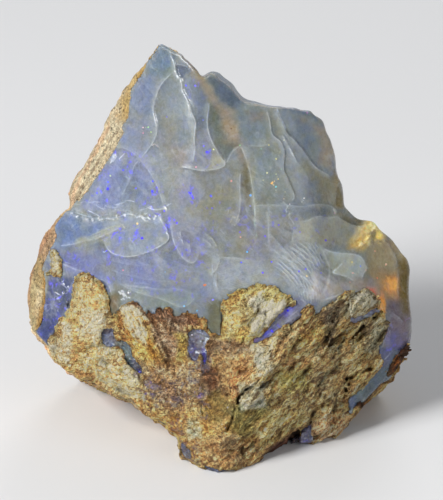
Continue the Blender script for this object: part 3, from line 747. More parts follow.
# pin points of colour: place, size (units), colour
DOT_D = np.full(GX.shape, 99.0, np.float32)
DOT_X = np.full(GX.shape, 9.0, np.float32)
DOT_Y = np.full(GX.shape, 9.0, np.float32)
DOT_R = np.zeros(GX.shape, np.float32)
DOT_C = np.ones(GX.shape + (3,), np.float32)
for x, y, r, rgb in [
    (148, 127, 0.9, (190, 250, 150)), (151, 132, 1.1, (200, 250, 130)), (143, 127.5, 0.9, (250, 200, 210)), (143, 133, 0.9, (240, 160, 180)),
    (213.5, 149.5, 0.9, (250, 250, 160)), (196, 167, 0.9, (240, 170, 190)), (240, 145, 0.8, (150, 240, 160)), (261, 149, 0.8, (150, 240, 200)),
    (269, 145, 0.9, (250, 240, 150)), (276, 159, 0.9, (240, 230, 150)), (267, 173, 0.9, (250, 244, 190)), (276, 174, 0.7, (240, 250, 180)),
    (278, 179, 0.9, (250, 230, 150)), (281, 169, 0.8, (180, 250, 180)), (285, 192, 0.9, (240, 236, 180)), (272, 183, 1.6, (252, 200, 120)),
    (276, 187, 1.3, (120, 220, 240)), (304, 198, 1.1, (250, 252, 255)), (302, 202, 0.9, (240, 240, 240)), (247, 252, 1.2, (110, 200, 250)),
    (197, 311, 1.2, (90, 190, 250)), (205, 285, 2.0, (216, 130, 70)), (231, 128.5, 1.1, (90, 50, 40)), (108, 189, 1.6, (70, 70, 250)),
    (142, 238, 1.9, (80, 60, 240)), (175, 318, 1.6, (90, 60, 250)), (287.5, 310, 1.7, (50, 40, 250)), (272, 331, 2.0, (70, 60, 250)),
    (353, 273, 1.4, (255, 206, 200)), (386, 264, 1.4, (255, 220, 196)), (360, 250, 0.8, (250, 190, 170)), (375, 251, 0.8, (250, 170, 150)), (366, 270, 0.8, (240, 180, 150)), (350, 282, 0.9, (250, 170, 150)), (377, 278, 1.0, (250, 140, 110)), (386, 265, 1.0, (250, 180, 150)), (370, 293, 1.5, (250, 120, 90)),
    (186, 85, 1.4, (110, 100, 240)), (195, 86, 1.5, (120, 110, 240)), (265, 236, 1.3, (120, 90, 240)), (326, 240, 1.4, (110, 90, 220)),
    (123, 270, 1.2, (230, 130, 150)), (107, 251, 1.3, (90, 80, 250)), (213, 300, 1.3, (150, 150, 250)), (279, 225, 1.1, (110, 90, 230)),
    (241, 262, 1.2, (80, 80, 250)), (272, 262, 1.3, (90, 80, 250)), (299, 271, 1.2, (80, 60, 250)), (263, 273, 1.4, (110, 90, 250)),
    (306, 269, 1.2, (100, 90, 250)), (321, 273, 1.2, (110, 100, 240)), (203, 120, 1.0, (110, 110, 240)), (167, 117, 1.1, (110, 100, 230)),
    (207, 152, 1.6, (100, 90, 250)), (204, 146, 1.2, (110, 100, 250)), (211, 196, 1.6, (100, 110, 240)), (190, 193, 2.0, (90, 90, 250)),
    (193, 198, 1.6, (100, 90, 250)), (212, 208, 1.2, (110, 100, 240)), (152, 191, 1.8, (80, 80, 250)), (123, 170, 1.4, (90, 90, 250)),
    (153, 181, 1.3, (90, 90, 250)), (136, 188, 1.3, (100, 100, 250)), (108, 182, 1.2, (100, 110, 250)), (97, 193, 1.4, (100, 110, 250)),
    (240, 232, 1.2, (120, 100, 230)), (250, 206, 1.0, (150, 150, 220)), (164, 211, 1.2, (110, 100, 250)), (177, 223, 1.4, (100, 90, 250)),
    (284, 140, 0.7, (240, 240, 200)), (280, 152, 0.7, (230, 230, 180)), (263, 180, 0.7, (230, 240, 190)), (284, 199, 0.8, (240, 240, 210)),
    (290, 204, 0.9, (250, 250, 240)), (276, 192, 0.7, (240, 200, 150)), (240, 290, 0.9, (220, 230, 240)), (206, 350, 1.0, (240, 240, 250)),
    (192, 335, 1.0, (240, 230, 250)), (196, 352, 1.0, (220, 220, 250)), (204, 361, 1.6, (80, 60, 250)), (192, 366, 1.4, (100, 80, 230)),
    (139, 372, 1.3, (80, 70, 250)), (200, 330, 0.9, (220, 220, 240)), (104, 252, 1.0, (200, 220, 240)), (300, 232, 0.9, (120, 100, 230)),
]:
    x0 = int((x - 9) * SC); x1 = int((x + 9) * SC) + 1
    y0 = int((y - 9) * SC); y1 = int((y + 9) * SC) + 1
    ys = slice(y0, y1); xs = slice(x0, x1)
    dx = GX[ys, xs] - x; dy = GY[ys, xs] - y
    d = np.sqrt(dx * dx + dy * dy)
    m = d < DOT_D[ys, xs]
    for M, v in ((DOT_D, d), (DOT_X, dx), (DOT_Y, dy), (DOT_R, 0.8 * r * sstep(3.6, 2.4, d))):
        M[ys, xs] = np.where(m, v, M[ys, xs])
    c = lin(*rgb)
    for k in range(3):
        DOT_C[ys, xs, k] = np.where(m, c[k], DOT_C[ys, xs, k])

# host rock and rind
ROCKT = canvas((186, 152, 100))
for text, rgb, soft, k in [
    ("60,270 100,268 112,300 110,330 98,350 130,372 120,400 80,390 40,350 50,320 70,300", (208, 180, 130), 6, 1),
    ("78,274 92,272 98,284 90,288 80,284", (206, 166, 116), 4, 0.6),
    ("80,314 104,308 108,330 96,342 82,334", (234, 220, 182), 5, 0.9),
    ("59,326 72,324 74,338 62,340", (226, 216, 184), 3, 1), ("66,338 74,338 72,350 66,350", (224, 212, 176), 3, 1),
    ("48,340 62,342 70,364 58,364", (192, 182, 152), 4, 0.8), ("60,346 76,350 84,366 70,366", (190, 134, 86), 4, 0.6),
    ("86,346 112,348 140,372 148,398 130,404 96,388 84,366", (216, 200, 156), 5, 1),
    ("74,368 120,390 150,412 146,418 100,396 70,376", (158, 122, 82), 3, 0.6),
    ("118,308 126,303 138,307 146,317 151,331 156,346 149,352 139,345 131,334 123,321", (246, 238, 204), 2.5, 1),
    ("140,316 150,322 160,338 168,356 169,371 160,374 148,362 142,350 146,342 144,328", (172, 136, 74), 3, 1),
    ("132,338 142,346 150,360 152,368 144,364 136,352", (208, 176, 106), 3, 0.9), ("117,312 122,306 124,330 132,344 126,342 119,328", (176, 134, 86), 2, 0.8),
    ("128,300 150,305 170,306 198,318 200,326 176,326 154,322 146,314 136,308", (130, 102, 80), 3, 1), ("140,308 150,312 160,326 166,340 158,338 150,322", (150, 104, 66), 2.5, 0.8),
    ("148,318 186,322 188,356 166,360 154,344", (152, 128, 100), 6, 1),
    ("174,332 187,334 187,364 178,362", (160, 134, 68), 3, 0.9),
    ("140,362 206,362 214,392 190,410 160,408 144,388", (164, 142, 112), 8, 1),
    ("150,380 176,384 184,400 160,402", (140, 118, 102), 6, 0.7),
    ("200,366 232,366 230,392 204,394", (104, 72, 52), 5, 1),
    ("206,336 246,342 256,352 232,364 206,360", (138, 108, 80), 5, 1),
    ("203,396 216,392 230,398 231,416 218,424 205,420", (134, 112, 66), 4, 1),
    ("184,420 198,418 200,438 188,440", (188, 192, 162), 4, 0.9),
    ("168,412 186,416 186,440 172,430", (168, 132, 84), 4, 0.8),
    ("184,440 236,432 262,448 256,470 200,466", (172, 138, 96), 6, 1),
    ("222,284 262,280 296,296 286,312 250,340 222,338", (188, 162, 100), 4, 1),
    ("246,294 262,292 264,308 252,312", (236, 230, 192), 3, 0.9),
    ("252,318 262,306 284,300 284,308 262,332 252,334", (252, 246, 206), 3, 1),
    ("222,300 236,294 240,330 224,338", (204, 174, 104), 4, 0.7),
    ("250,346 270,346 272,372 256,376", (196, 192, 160), 4, 0.9),
    ("218,354 252,352 256,386 232,396 218,388", (168, 130, 88), 6, 1),
    ("228,372 240,372 242,398 232,400", (206, 146, 100), 4, 0.7),
    ("272,336 330,306 330,350 290,380 272,370", (164, 130, 88), 8, 0.9),
    ("347,294 372,290 378,304 360,318 346,314", (198, 192, 158), 4, 1),
    ("325,306 340,300 348,300 342,320 334,338 326,342 324,326", (116, 102, 82), 3, 0.85),
    ("360,322 386,320 386,350 364,352", (158, 148, 116), 5, 0.9),
    ("328,344 344,344 344,368 332,372", (142, 146, 118), 4, 0.7),
    ("230,402 272,398 272,420 250,438 230,434", (124, 112, 66), 5, 1),
    ("238,386 262,382 264,404 242,410", (202, 198, 162), 4, 1),
    ("276,372 310,368 308,394 280,396", (166, 152, 88), 5, 0.8),
    ("268,396 330,386 340,412 290,430 268,420", (164, 138, 94), 8, 0.8),
    ("308,350 352,346 350,392 316,396", (160, 134, 94), 8, 0.8),
    ("310,420 348,410 350,432 312,446", (190, 148, 110), 4, 0.9),
    ("320,320 330,330 300,360 284,350", (200, 164, 96), 5, 0.5),
    ("252,424 300,410 306,430 262,456", (178, 150, 96), 6, 0.7),
    ("350,404 372,390 392,362 402,344 414,344 410,364 392,388 364,410", (66, 42, 26), 3, 1),
    ("396,356 402,351 401,362 393,371", (142, 84, 36), 2, 0.8), ("380,380 386,375 384,384 377,389", (112, 78, 48), 2, 0.7),
    ("300,426 292,430 270,448 256,464 262,472 300,450", (84, 52, 40), 4, 1),
    ("46,246 62,250 62,276 46,276", (238, 216, 164), 3, 1), ("50,262 58,262 58,272 50,272", (250, 242, 208), 2.5, 0.9),
]:
    paint(ROCKT, text, rgb, soft, k, 1.2)
for text, mul, soft in [
    ("206,336 246,342 256,352 232,364 206,360", (1.0, 1.20, 1.40), 5), ("200,362 232,364 230,392 204,394", (0.95, 1.08, 1.20), 5),
    ("128,300 200,318 200,326 188,356 166,360 154,344 146,320", (1.0, 1.08, 1.35), 5),
    ("222,300 236,294 250,300 250,326 240,330 224,338", (1.06, 1.12, 1.45), 4), ("252,318 262,306 284,300 284,308 262,332 252,334", (1.5, 1.4, 1.0), 3),
    ("260,396 300,394 304,426 262,428", (1.18, 1.20, 1.15), 6), ("78,284 102,286 106,328 80,330", (1.26, 1.17, 1.16), 5), ("62,300 78,296 80,340 58,338", (1.12, 1.02, 0.96), 5),
    ("84,346 124,350 128,384 90,380", (1.25, 1.06, 0.95), 5), ("205,394 232,400 232,416 218,424 204,420", (0.84, 0.90, 0.97), 3),
    ("120,306 146,312 148,344 130,342", (1.22, 1.14, 1.04), 4), ("188,436 246,434 248,468 194,468", (1.0, 1.06, 1.15), 6),
]:
    _m = sstep(soft, -soft, poly_map(P2(text), soft * 2 + 12, GX + _sx, GY + _sy))[..., None]
    ROCKT *= 1 + _m * (np.array(mul, np.float32) - 1)
sd = poly_map(P2("118,309 126,303 140,306 150,318 160,338 168,356 169,370 160,374 148,367 138,355 129,342 121,326"), 10)
al = GX * 0.46 + GY * 0.89; ac = GX * 0.89 - GY * 0.46
_st = noise(al / 13.0, ac / 1.7, 3.3 + 0 * GX) + 0.6 * noise(al / 8.0, ac / 0.9, 5.3 + 0 * GX)
_fb = sstep(3, -2, poly_map(P2("130,303 140,304 152,311 166,310 176,318 196,318 198,328 170,334 160,330 150,322 140,314 132,308"), 10))
ROCKT *= (1 + 0.75 * sstep(3, -2, sd) * _st)[..., None]
ROCKT *= (1 + 0.85 * _fb * (noise(al / 5.0, ac / 1.3, 7.3 + 0 * GX) + 0.5 * noise(al / 3.0, ac / 0.7, 9.3 + 0 * GX)))[..., None]
RELIEF -= 0.45 * _fb * noise(al / 5.0, ac / 1.3, 7.3 + 0 * GX)
RELIEF -= 0.34 * sstep(3, -3, sd) * _st
ROCKV = np.zeros(GX.shape, np.float32)    # opal stained into the rock
for text, v, soft in [
    ("136,366 170,378 200,372 206,396 180,410 150,408 140,388", 0.75, 8), ("186,354 212,356 212,372 188,374", 0.8, 4),
    ("142,384 156,388 160,412 148,410", 0.8, 4), ("200,400 210,404 208,420 200,418", 0.7, 3), ("164,420 182,416 186,444 174,434", 0.5, 4),
    ("240,402 262,396 268,404 250,410", 0.4, 4), ("178,440 200,444 200,464 180,460", 0.6, 4), ("60,342 72,348 70,356 60,352", 0.4, 3),
    ("98,344 120,348 140,372 130,374 104,356", 0.4, 4),
]:
    mark(ROCKV, text, v, soft)
RINDT = canvas((200, 188, 158))
for text, rgb, soft, k in [
    ("162,42 150,52 128,84 118,104 126,118 134,88 150,60", (190, 168, 118), 4, 1),
    ("160,44 152,54 143,66 140,74 146,70 154,56", (178, 150, 92), 2, 0.8),
    ("121,109 129,108 127,119 121,120", (186, 156, 84), 2.2, 0.8), ("126,98 131,97 130,106 125,106", (184, 160, 104), 2, 0.8), ("138,70 144,70 141,79 136,80", (176, 142, 76), 2, 0.8),
    ("113,114 124,110 128,116 124,124 118,122", (176, 158, 118), 3, 0.7), ("112,112 122,124 106,150 92,180 82,198 74,180 92,150", (204, 196, 168), 4, 1),
    ("70,216 70,196 75,184 89,160 103,134 109,122 110,127 98,151 82,177 75,194 73,212", (206, 172, 140), 1.5, 0.7),
    ("28,340 26,262 44,228 60,212 64,240 50,262 48,332", (200, 186, 142), 4, 1),
    ("42,240 60,212 62,236 52,252 45,262 38,266 36,252", (192, 162, 130), 4, 0.9),
    ("26,300 30,270 43,236 57,218 47,240 35,264 29,296 30,332 27,332", (204, 158, 124), 1.2, 0.8),
    ("42,262 49,264 48,300 45,312 42,300 42,280", (178, 142, 76), 2, 0.9), ("33,262 40,256 44,264 40,286 33,284", (186, 164, 118), 3, 0.8), ("39,304 46,304 43,326 36,330", (176, 138, 76), 2, 0.9),
    ("36,290 43,290 42,306 36,308", (228, 218, 180), 2, 0.9), ("34,306 40,308 38,318 34,316", (220, 206, 164), 2, 0.8),
]:
    paint(RINDT, text, rgb, soft, k, 0.5)
RINDT *= (0.86 - 0.20 * sstep(200, 235, GY))[..., None] * np.array((0.97, 0.92, 0.87), np.float32)
RINDK = np.zeros(GX.shape, np.float32)    # dark lengthwise lines in the rind
for text in ["120,128.5 117,131 112,137 108,145 103,154 97,163 90,173 84,182 78,192", "99,162 94,169 88,176 86,184 80,194 76,203", "92,160 88,166 85,171", "44,262 42,270"]:
    (ys, xs), d, side, end, arc = line_map(smooth_line(P2(text), 2), 10, RX, RY)
    RINDK[ys, xs] = np.maximum(RINDK[ys, xs], np.where(end, np.exp(-d), 1) * np.exp(-(d / 0.75) ** 2) * np.clip(0.7 + 0.8 * noise(GX[ys, xs] / 5.0, GY[ys, xs] / 5.0, 83.0 + 0 * d), 0.62, 1.0))
    RELIEF[ys, xs] += 0.14 * np.where(end, np.exp(-d), 1) * np.exp(-(d / 0.9) ** 2)


for text, up, reach in [
    ("78,276 88,273 98,283 106,298 109,312 104,328 96,342 84,352 66,352 54,342 60,322 72,300", 1.1, 9),
    ("118,313 121,305 127,306 131,302 139,305 143,311 150,316 158,333 164,344 169,360 167,371 158,373 150,368 143,361 136,352 131,346 126,334 120,326", 0.75, 9),
    ("224,306 236,292 262,286 284,296 292,302 270,322 248,338 224,334", 0.45, 3),
    ("48,250 60,253 61,274 50,273", 0.5, 4),
    ("350,296 370,292 376,302 362,316 348,314", 0.4, 5),
    ("88,352 108,350 122,364 138,374 146,392 132,396 116,388 94,376", 0.8, 6),
]:
    sd = poly_map(P2(text), 6, RX, RY)
    RELIEF -= up * np.sqrt(np.clip(-sd / reach, 0, 1))


CALM = np.zeros(GX.shape, np.float32)     # where the host rock is smoother
for text, v, soft in [("206,394 220,392 231,399 234,410 229,423 219,428 209,424 205,410", 0.75, 2), ("232,406 272,402 272,418 252,436 234,430", 0.35, 4), ("76,276 96,278 110,304 104,330 92,344 60,352 58,330 72,304", 0.4, 4),
                        ("90,350 118,350 144,386 130,398 96,384", 0.35, 4), ("120,304 136,304 168,370 154,376", 0.5, 3)]:
    mark(CALM, text, v, soft)


FIBRE = np.zeros(GX.shape, np.float32)    # where the host rock is streaked like wood
for text, v, soft in [("118,313 121,305 127,306 131,302 139,305 143,311 150,316 158,333 164,344 169,360 167,371 158,373 150,368 143,361 136,352 131,346 126,334 120,326", 0.85, 2),
                      ("130,302 140,303 152,309 166,307 180,314 186,322 170,334 158,326 148,318 138,311", 0.8, 2), ("176,332 186,334 186,362 178,360", 0.6, 2),
                      ("80,280 96,282 106,300 100,326 84,330 76,304", 0.22, 4)]:
    mark(FIBRE, text, v, soft)


def blur(img, r):
    """three passes of a box blur"""
    k = int(r * SC)
    for _ in range(3):
        for ax in (0, 1):
            p = np.pad(img, [(k + 1, k) if i == ax else (0, 0) for i in range(2)], mode="edge")
            c = np.cumsum(p, axis=ax, dtype=np.float64)
            n = img.shape[ax]
            hi = np.take(c, np.arange(2 * k + 1, 2 * k + 1 + n), axis=ax)
            lo = np.take(c, np.arange(0, n), axis=ax)
            img = ((hi - lo) / (2 * k + 1)).astype(np.float32)
    return img


PIT = RELIEF - blur(RELIEF, 3.5)              # hollows and edges in the drawn relief (mm)


def sample(maps, px, py):
    fx = np.clip(px * SC, 0, len(MX) - 1.001).astype(np.float32)
    fy = np.clip(py * SC, 0, len(MY) - 1.001).astype(np.float32)
    ix = fx.astype(np.int32); iy = fy.astype(np.int32)
    tx = fx - ix; ty = fy - iy
    w00 = (1 - tx) * (1 - ty); w10 = tx * (1 - ty); w01 = (1 - tx) * ty; w11 = tx * ty
    return [m[iy, ix] * w00 + m[iy, ix + 1] * w10 + m[iy + 1, ix] * w01 + m[iy + 1, ix + 1] * w11 for m in maps]


def smax(a, b, r):
    h = np.maximum(r - np.abs(a - b), 0)
    return np.maximum(a, b) + h * h / (4 * r)


class Spot:
    """points of the stone with their coordinates on the leaning plane"""
    def __init__(self, P):
        self.P = P
        X = P[:, 0] + ORIGIN[0]; Y = P[:, 1] + ORIGIN[1]; Z = P[:, 2]
        self.u = X
        self.v = Z * COS + Y * SIN
        self.w = Y * COS - Z * SIN
        s = REACH / (REACH + self.w)
        self.s = s
        self.px = CX + X * s / UNIT
        self.py = CY0 - (AXIS_V + (self.v - AXIS_V) * s) / UNIT

    def faces(self, relief=None):
        front = np.full(len(self.u), -1e3, np.float32)
        for d, a, b in FRONT_FACES:
            front = smax(front, (d + a * self.u + b * self.v - self.w) / math.sqrt(1 + a * a + b * b), ROUND)
        if relief is not None:
            front = front + 0.85 * relief
        back = np.full(len(self.u), -1e3, np.float32)
        for d, a, b in BACK_FACES:
            back = smax(back, (self.w - d - a * self.u - b * self.v) / math.sqrt(1 + a * a + b * b), ROUND)
        for hu, hv, hw, r in HOLLOWS:
            back = smax(back, r - np.sqrt((self.u - hu) ** 2 + (self.v - hv) ** 2 + (self.w - hw) ** 2), ROUND)
        return front, back


def terrace(n, k):
    """turns a smooth field into small flat steps"""
    t = n * k
    f = np.floor(t)
    return (f + sstep(0.2, 0.8, t - f)) / k


def rock_noise(P, sp):
    x, y, z = P[:, 0], P[:, 1], P[:, 2]
    # grain runs up to the right on the right face
    a = sp.u * 0.70 + sp.v * 0.71; b = -sp.u * 0.71 + sp.v * 0.70; c = sp.w
    wob = 0.5 * noise(x / 3.0, y / 3.0, z / 3.0)
    right = sstep(-4, 6, sp.u - 0.1 * sp.v)
    calm = 1 - 0.8 * sample([CALM], sp.px, sp.py)[0]
    f1 = noise(a / 5.5, b / 1.5 + wob, c / 2.2)
    f2 = np.abs(noise(a / 2.4, b / 0.85 + wob, c / 1.2))
    f3 = noise(a / 9.0, b / 3.2 + 0.6 * wob, c / 4.0)
    fol = 0.75 * terrace(f1, 2.6) + 0.45 * f1 - 0.75 * (f2 - 0.22) + 0.55 * terrace(f3, 2.2) + 0.3 * noise(a / 1.3, b / 0.7, c / 0.8)
    split = np.exp(-(noise(a / 7.0 + 4.0, b / 2.1 + wob, c / 3.0) / 0.06) ** 2) * sstep(-0.1, 0.3, noise(x / 4.0, y / 4.0 + 5, z / 4.0))
    i1 = noise(x / 1.7, y / 1.7, z / 1.7); i2 = np.abs(noise(x / 0.95, y / 0.95, z / 0.95))
    iso = 0.7 * terrace(i1, 3.0) + 0.5 * i1 - 0.7 * (i2 - 0.22) + 0.5 * noise(x / 0.75 + 3.0, y / 0.75, z / 0.75)
    b1 = noise(x / 5.5, y / 5.5, z / 5.5)
    chip = np.abs(noise(x / 3.4 + 7.0, y / 3.4, z / 3.4))
    return calm * ((0.66 * fol + 0.70 * split) * right + 0.40 * iso * (1 - 0.45 * right)) + 0.32 * b1 + 0.34 * terrace(b1, 3.2) - 0.30 * chip


_ss = np.random.RandomState(5)
SCARS = [(_ss.uniform(-36, 38), _ss.uniform(-12, 22), _ss.uniform(-2, 74), _ss.uniform(-0.35, 0.75), _ss.uniform(16, 34)) for _ in range(46)]


def shell(P):
    """flake scars on the hidden sides: how far back (mm), signed distance to the nearest ridge (units), its strength"""
    x, y, z = P[:, 0], P[:, 1], P[:, 2]
    wx = x + 1.1 * noise(x / 8.0, y / 8.0, z / 8.0 + 4.0)
    wy = y + 1.1 * noise(x / 8.0 + 9.0, y / 8.0, z / 8.0)
    wz = z + 1.1 * noise(x / 8.0, y / 8.0 + 9.0, z / 8.0)
    top = np.full(len(x), -1e3, np.float32); second = top.copy()
    who = np.zeros(len(x), np.int32); whos = who.copy()
    dist = np.zeros(len(x), np.float32)
    for i, (sx, sy, sz, a, r) in enumerate(SCARS):
        d2 = (wx - sx) ** 2 + ((wy - sy) * 0.8) ** 2 + (wz - sz) ** 2
        v = (a - d2 / (2.6 * r)).astype(np.float32)
        m = v > top
        n = ~m & (v > second)
        second = np.where(m, top, np.where(n, v, second)); whos = np.where(m, who, np.where(n, i, whos))
        top = np.where(m, v, top); who = np.where(m, i, who); dist = np.where(m, np.sqrt(d2), dist)
    c = np.array([q[:3] for q in SCARS])
    gap = np.linalg.norm(c[who] - c[whos], axis=1) / 28.0
    s = (top - second) / np.maximum(gap, 0.1)               # mm from the ridge
    keep = sstep(-0.30, 0.20, noise(x / 11.0, y / 11.0 + 2.2, z / 11.0))
    rings = 0.022 * np.sin(dist * 3.1 + 1.5 * noise(x / 6.0, y / 6.0, z / 6.0)) * sstep(-0.05, 0.35, noise(x / 7.0 + 3.0, y / 7.0, z / 7.0))
    return (0.85 * np.clip(top, -2.2, 0.6) + 0.9 + rings).astype(np.float32), s / UNIT, keep


def opal_noise(P, sp, depth):
    x, y, z = P[:, 0], P[:, 1], P[:, 2]
    n = 0.16 * noise(x / 9, y / 9, z / 9) + 0.05 * noise(x / 3.1, y / 3.1, z / 3.1)
    # flake scars on the back and sides
    q = sstep(3.0, 7.0, depth)
    m = q > 0
    if m.any():
        n[m] += q[m] * (0.10 * noise(x[m] / 6, y[m] / 6, z[m] / 6) + shell(P[m])[0] * 0.9)
    return n


def fields(P, which):
    sp = Spot(P)
    relief, rim, sdr, sdp, sdi = sample([RELIEF, RIM, SD_ROCK, SD_POCKET, SD_RIND], sp.px, sp.py)
    front, back = sp.faces(relief)
    rim = rim / sp.s
    depth = -front
    rest = smax(back, rim, 0.6)              # every surface but the front
    F = smax(front, rest, 0.55)
    # host rock: a wedge from the front edge of the rock down to the back of the base
    T = np.where(sdr < 0, 0.35 - sdr * UNIT * 1.15, 0.35 - sdr * UNIT * 1.6)
    R = depth - T
    tp = np.minimum(0.25 - sdp * UNIT * 0.9, 2.4)
    Q = np.maximum(sdp * UNIT, depth - tp)
    R = np.maximum(R, -Q)
    x, y, z = P[:, 0], P[:, 1], P[:, 2]
    nb = noise(x / 11, y / 11, z / 11)
    nm = noise(x / 4, y / 4, z / 4)
    base = z - (5.5 + 5.0 * nb + 1.5 * nm + 0.22 * y)           # rock along the underside
    R = np.minimum(R, np.maximum(base, 0.6 - (depth - 0.0) * 0.25 + np.where(sdr > 0, sdr * UNIT * 0.7, 0)))
    # rind: a thin crust down the left side and the back
    c = np.clip((-sp.u - 4 + 7.0 * nb + 2.5 * nm) / 6.0 + np.clip((26 - z) / 14.0, 0, 1.2) * sstep(-6, 8, -sp.u + 12 * nb + 6), -1, 1)
    tc = 1.7 * c
    C = np.maximum(np.maximum(-(rest + tc), 1.4 - depth), (0.22 - c + 0.10 * noise(x / 1.6, y / 1.6, z / 1.6)) * 4.0)
    S = np.maximum(sdi * UNIT + 0.0, depth - 1.5)
    I = np.minimum(C, S)
    if which == "opal":
        A = np.minimum(R, I)
        near = sstep(-1.0, 0.0, F)
        Fo = F + opal_noise(P, sp, depth)
        return np.maximum(np.maximum(Fo, -z), -(A + 0.16))
    if which == "rock":
        Fr = F + rock_noise(P, sp) - 0.14
        return np.maximum(np.maximum(Fr, -z), R)
    if which == "rind":
        a = sp.u * 0.5 + sp.v * 0.87; b = -sp.u * 0.87 + sp.v * 0.5
        n = 0.22 * noise(a / 5.0, b / 0.9, sp.w / 2.0) + 0.16 * noise(x / 0.9, y / 0.9, z / 0.9) + 0.22 * noise(x / 3, y / 3, z / 3)
        bk = sstep(2.0, 5.0, depth)
        fl = noise(x / 5.0 + 1.0, y / 5.0, z / 3.4)
        slab = noise(x / 10.0 + 0.25 * fl, y / 10.0, z / 6.0 + 8.0)
        gash = np.exp(-(noise(x / 6.5, y / 6.5 + 3.0, z / 15.0) / 0.045) ** 2) * sstep(-0.05, 0.2, noise(x / 7.0, y / 7.0, z / 7.0 + 6.0))
        n = n + bk * (0.55 * terrace(slab, 3.0) + 0.45 * gash + 0.45 * terrace(fl, 3.0) + 0.30 * noise(x / 2.0, y / 2.0, z / 2.0) - 0.30 * (np.abs(noise(x / 1.1, y / 1.1, z / 1.1)) - 0.2))
        Fi = F + n - 0.08
        return np.maximum(np.maximum(Fi, -z), I)
    raise ValueError(which)


def evaluate(P, which, chunk=32768):
    out = np.empty(len(P), np.float32)

    def one(a):
        out[a:a + chunk] = fields(P[a:a + chunk], which)
    with ThreadPoolExecutor(max_workers=4) as pool:
        list(pool.map(one, range(0, len(P), chunk)))
    return out


# ------------------------------------------------------------------ meshing on a grid
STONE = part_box("rough_opal")
LO = np.array([STONE[0][i] * 1000 - 2.0 for i in range(3)])
HI = np.array([STONE[1][i] * 1000 + 2.0 for i in range(3)])
LO[2] = -1.0


def surface(which, h):
    n = np.ceil((HI - LO) / h).astype(int) + 1
    n = ((n + 3) // 4) * 4 + 1
    # coarse pass finds where the surface runs
    H = 4 * h
    nc = (n - 1) // 4 + 1
    ax = [LO[i] + H * np.arange(nc[i]) for i in range(3)]
    cg = np.stack(np.meshgrid(*ax, indexing="ij"), -1).reshape(-1, 3)
    cf = evaluate(cg, which).reshape(nc)
    span = 1.9 * H
    vol = np.repeat(np.repeat(np.repeat(np.where(cf > 0, 9.0, -9.0).astype(np.float32), 4, 0), 4, 1), 4, 2)[:n[0], :n[1], :n[2]]
    # a coarse cell matters if any corner is near zero or the corners differ in sign
    near = np.abs(cf) < span
    cell = np.zeros((nc[0] - 1, nc[1] - 1, nc[2] - 1), bool)
    pos = cf > 0
    anyp = np.zeros(cell.shape, bool); alln = np.ones(cell.shape, bool)
    for dx in (0, 1):
        for dy in (0, 1):
            for dz in (0, 1):
                s = (slice(dx, dx + cell.shape[0]), slice(dy, dy + cell.shape[1]), slice(dz, dz + cell.shape[2]))
                cell |= near[s]
                anyp |= pos[s]; alln &= pos[s]
    cell |= anyp & ~alln
    mask = np.zeros(tuple(n), bool)
    fine = np.repeat(np.repeat(np.repeat(cell, 4, 0), 4, 1), 4, 2)
    for dx in (0, 1):
        for dy in (0, 1):
            for dz in (0, 1):
                mask[dx:dx + fine.shape[0], dy:dy + fine.shape[1], dz:dz + fine.shape[2]] |= fine
    # interior or exterior elsewhere
    idx = np.argwhere(mask)
    vals = evaluate(LO + idx * h, which)
    vals[np.abs(vals) < 1e-5] = 1e-5
    vol[idx[:, 0], idx[:, 1], idx[:, 2]] = vals
    return nets(vol, h)


def nets(vol, h):
    inside = vol < 0
    nx, ny, nz = vol.shape
    c = np.zeros((nx - 1, ny - 1, nz - 1), np.uint8)
    for k, (dx, dy, dz) in enumerate([(a, b, d) for a in (0, 1) for b in (0, 1) for d in (0, 1)]):
        c += inside[dx:dx + nx - 1, dy:dy + ny - 1, dz:dz + nz - 1]
    act = (c > 0) & (c < 8)
    cells = np.argwhere(act)
    index = np.full(act.shape, -1, np.int32)
    index[act] = np.arange(len(cells), dtype=np.int32)
    offs = np.array([(a, b, d) for a in (0, 1) for b in (0, 1) for d in (0, 1)])
    val = np.stack([vol[cells[:, 0] + o[0], cells[:, 1] + o[1], cells[:, 2] + o[2]] for o in offs], 1)
    acc = np.zeros((len(cells), 3), np.float32); cnt = np.zeros(len(cells), np.float32)
    for i in range(8):
        for j in range(i + 1, 8):
            if np.abs(offs[i] - offs[j]).sum() != 1:
                continue
            m = (val[:, i] < 0) != (val[:, j] < 0)
            t = np.where(m, val[:, i] / np.where(m, val[:, i] - val[:, j], 1), 0)
            p = offs[i] + t[:, None] * (offs[j] - offs[i])
            acc += np.where(m[:, None], p, 0)
            cnt += m
    verts = LO + (cells + acc / cnt[:, None]) * h
    quads = []
    for axis in range(3):
        a = [slice(None)] * 3; b = [slice(None)] * 3
        a[axis] = slice(0, -1); b[axis] = slice(1, None)
        ia, ib = inside[tuple(a)], inside[tuple(b)]
        for flip, m in ((False, ia & ~ib), (True, ~ia & ib)):
            e = np.argwhere(m)
            o1, o2 = [(1, 2), (2, 0), (0, 1)][axis]
            ok = (e[:, o1] > 0) & (e[:, o2] > 0) & (e[:, o1] < act.shape[o1]) & (e[:, o2] < act.shape[o2])
            e = e[ok]
            d1 = np.zeros(3, int); d1[o1] = 1
            d2 = np.zeros(3, int); d2[o2] = 1
            q = [index[tuple((e - d1 - d2).T)], index[tuple((e - d2).T)], index[tuple(e.T)], index[tuple((e - d1).T)]]
            q = np.stack(q, 1)
            if flip:
                q = q[:, ::-1]
            quads.append(q)
    quads = np.concatenate(quads)
    return verts, quads


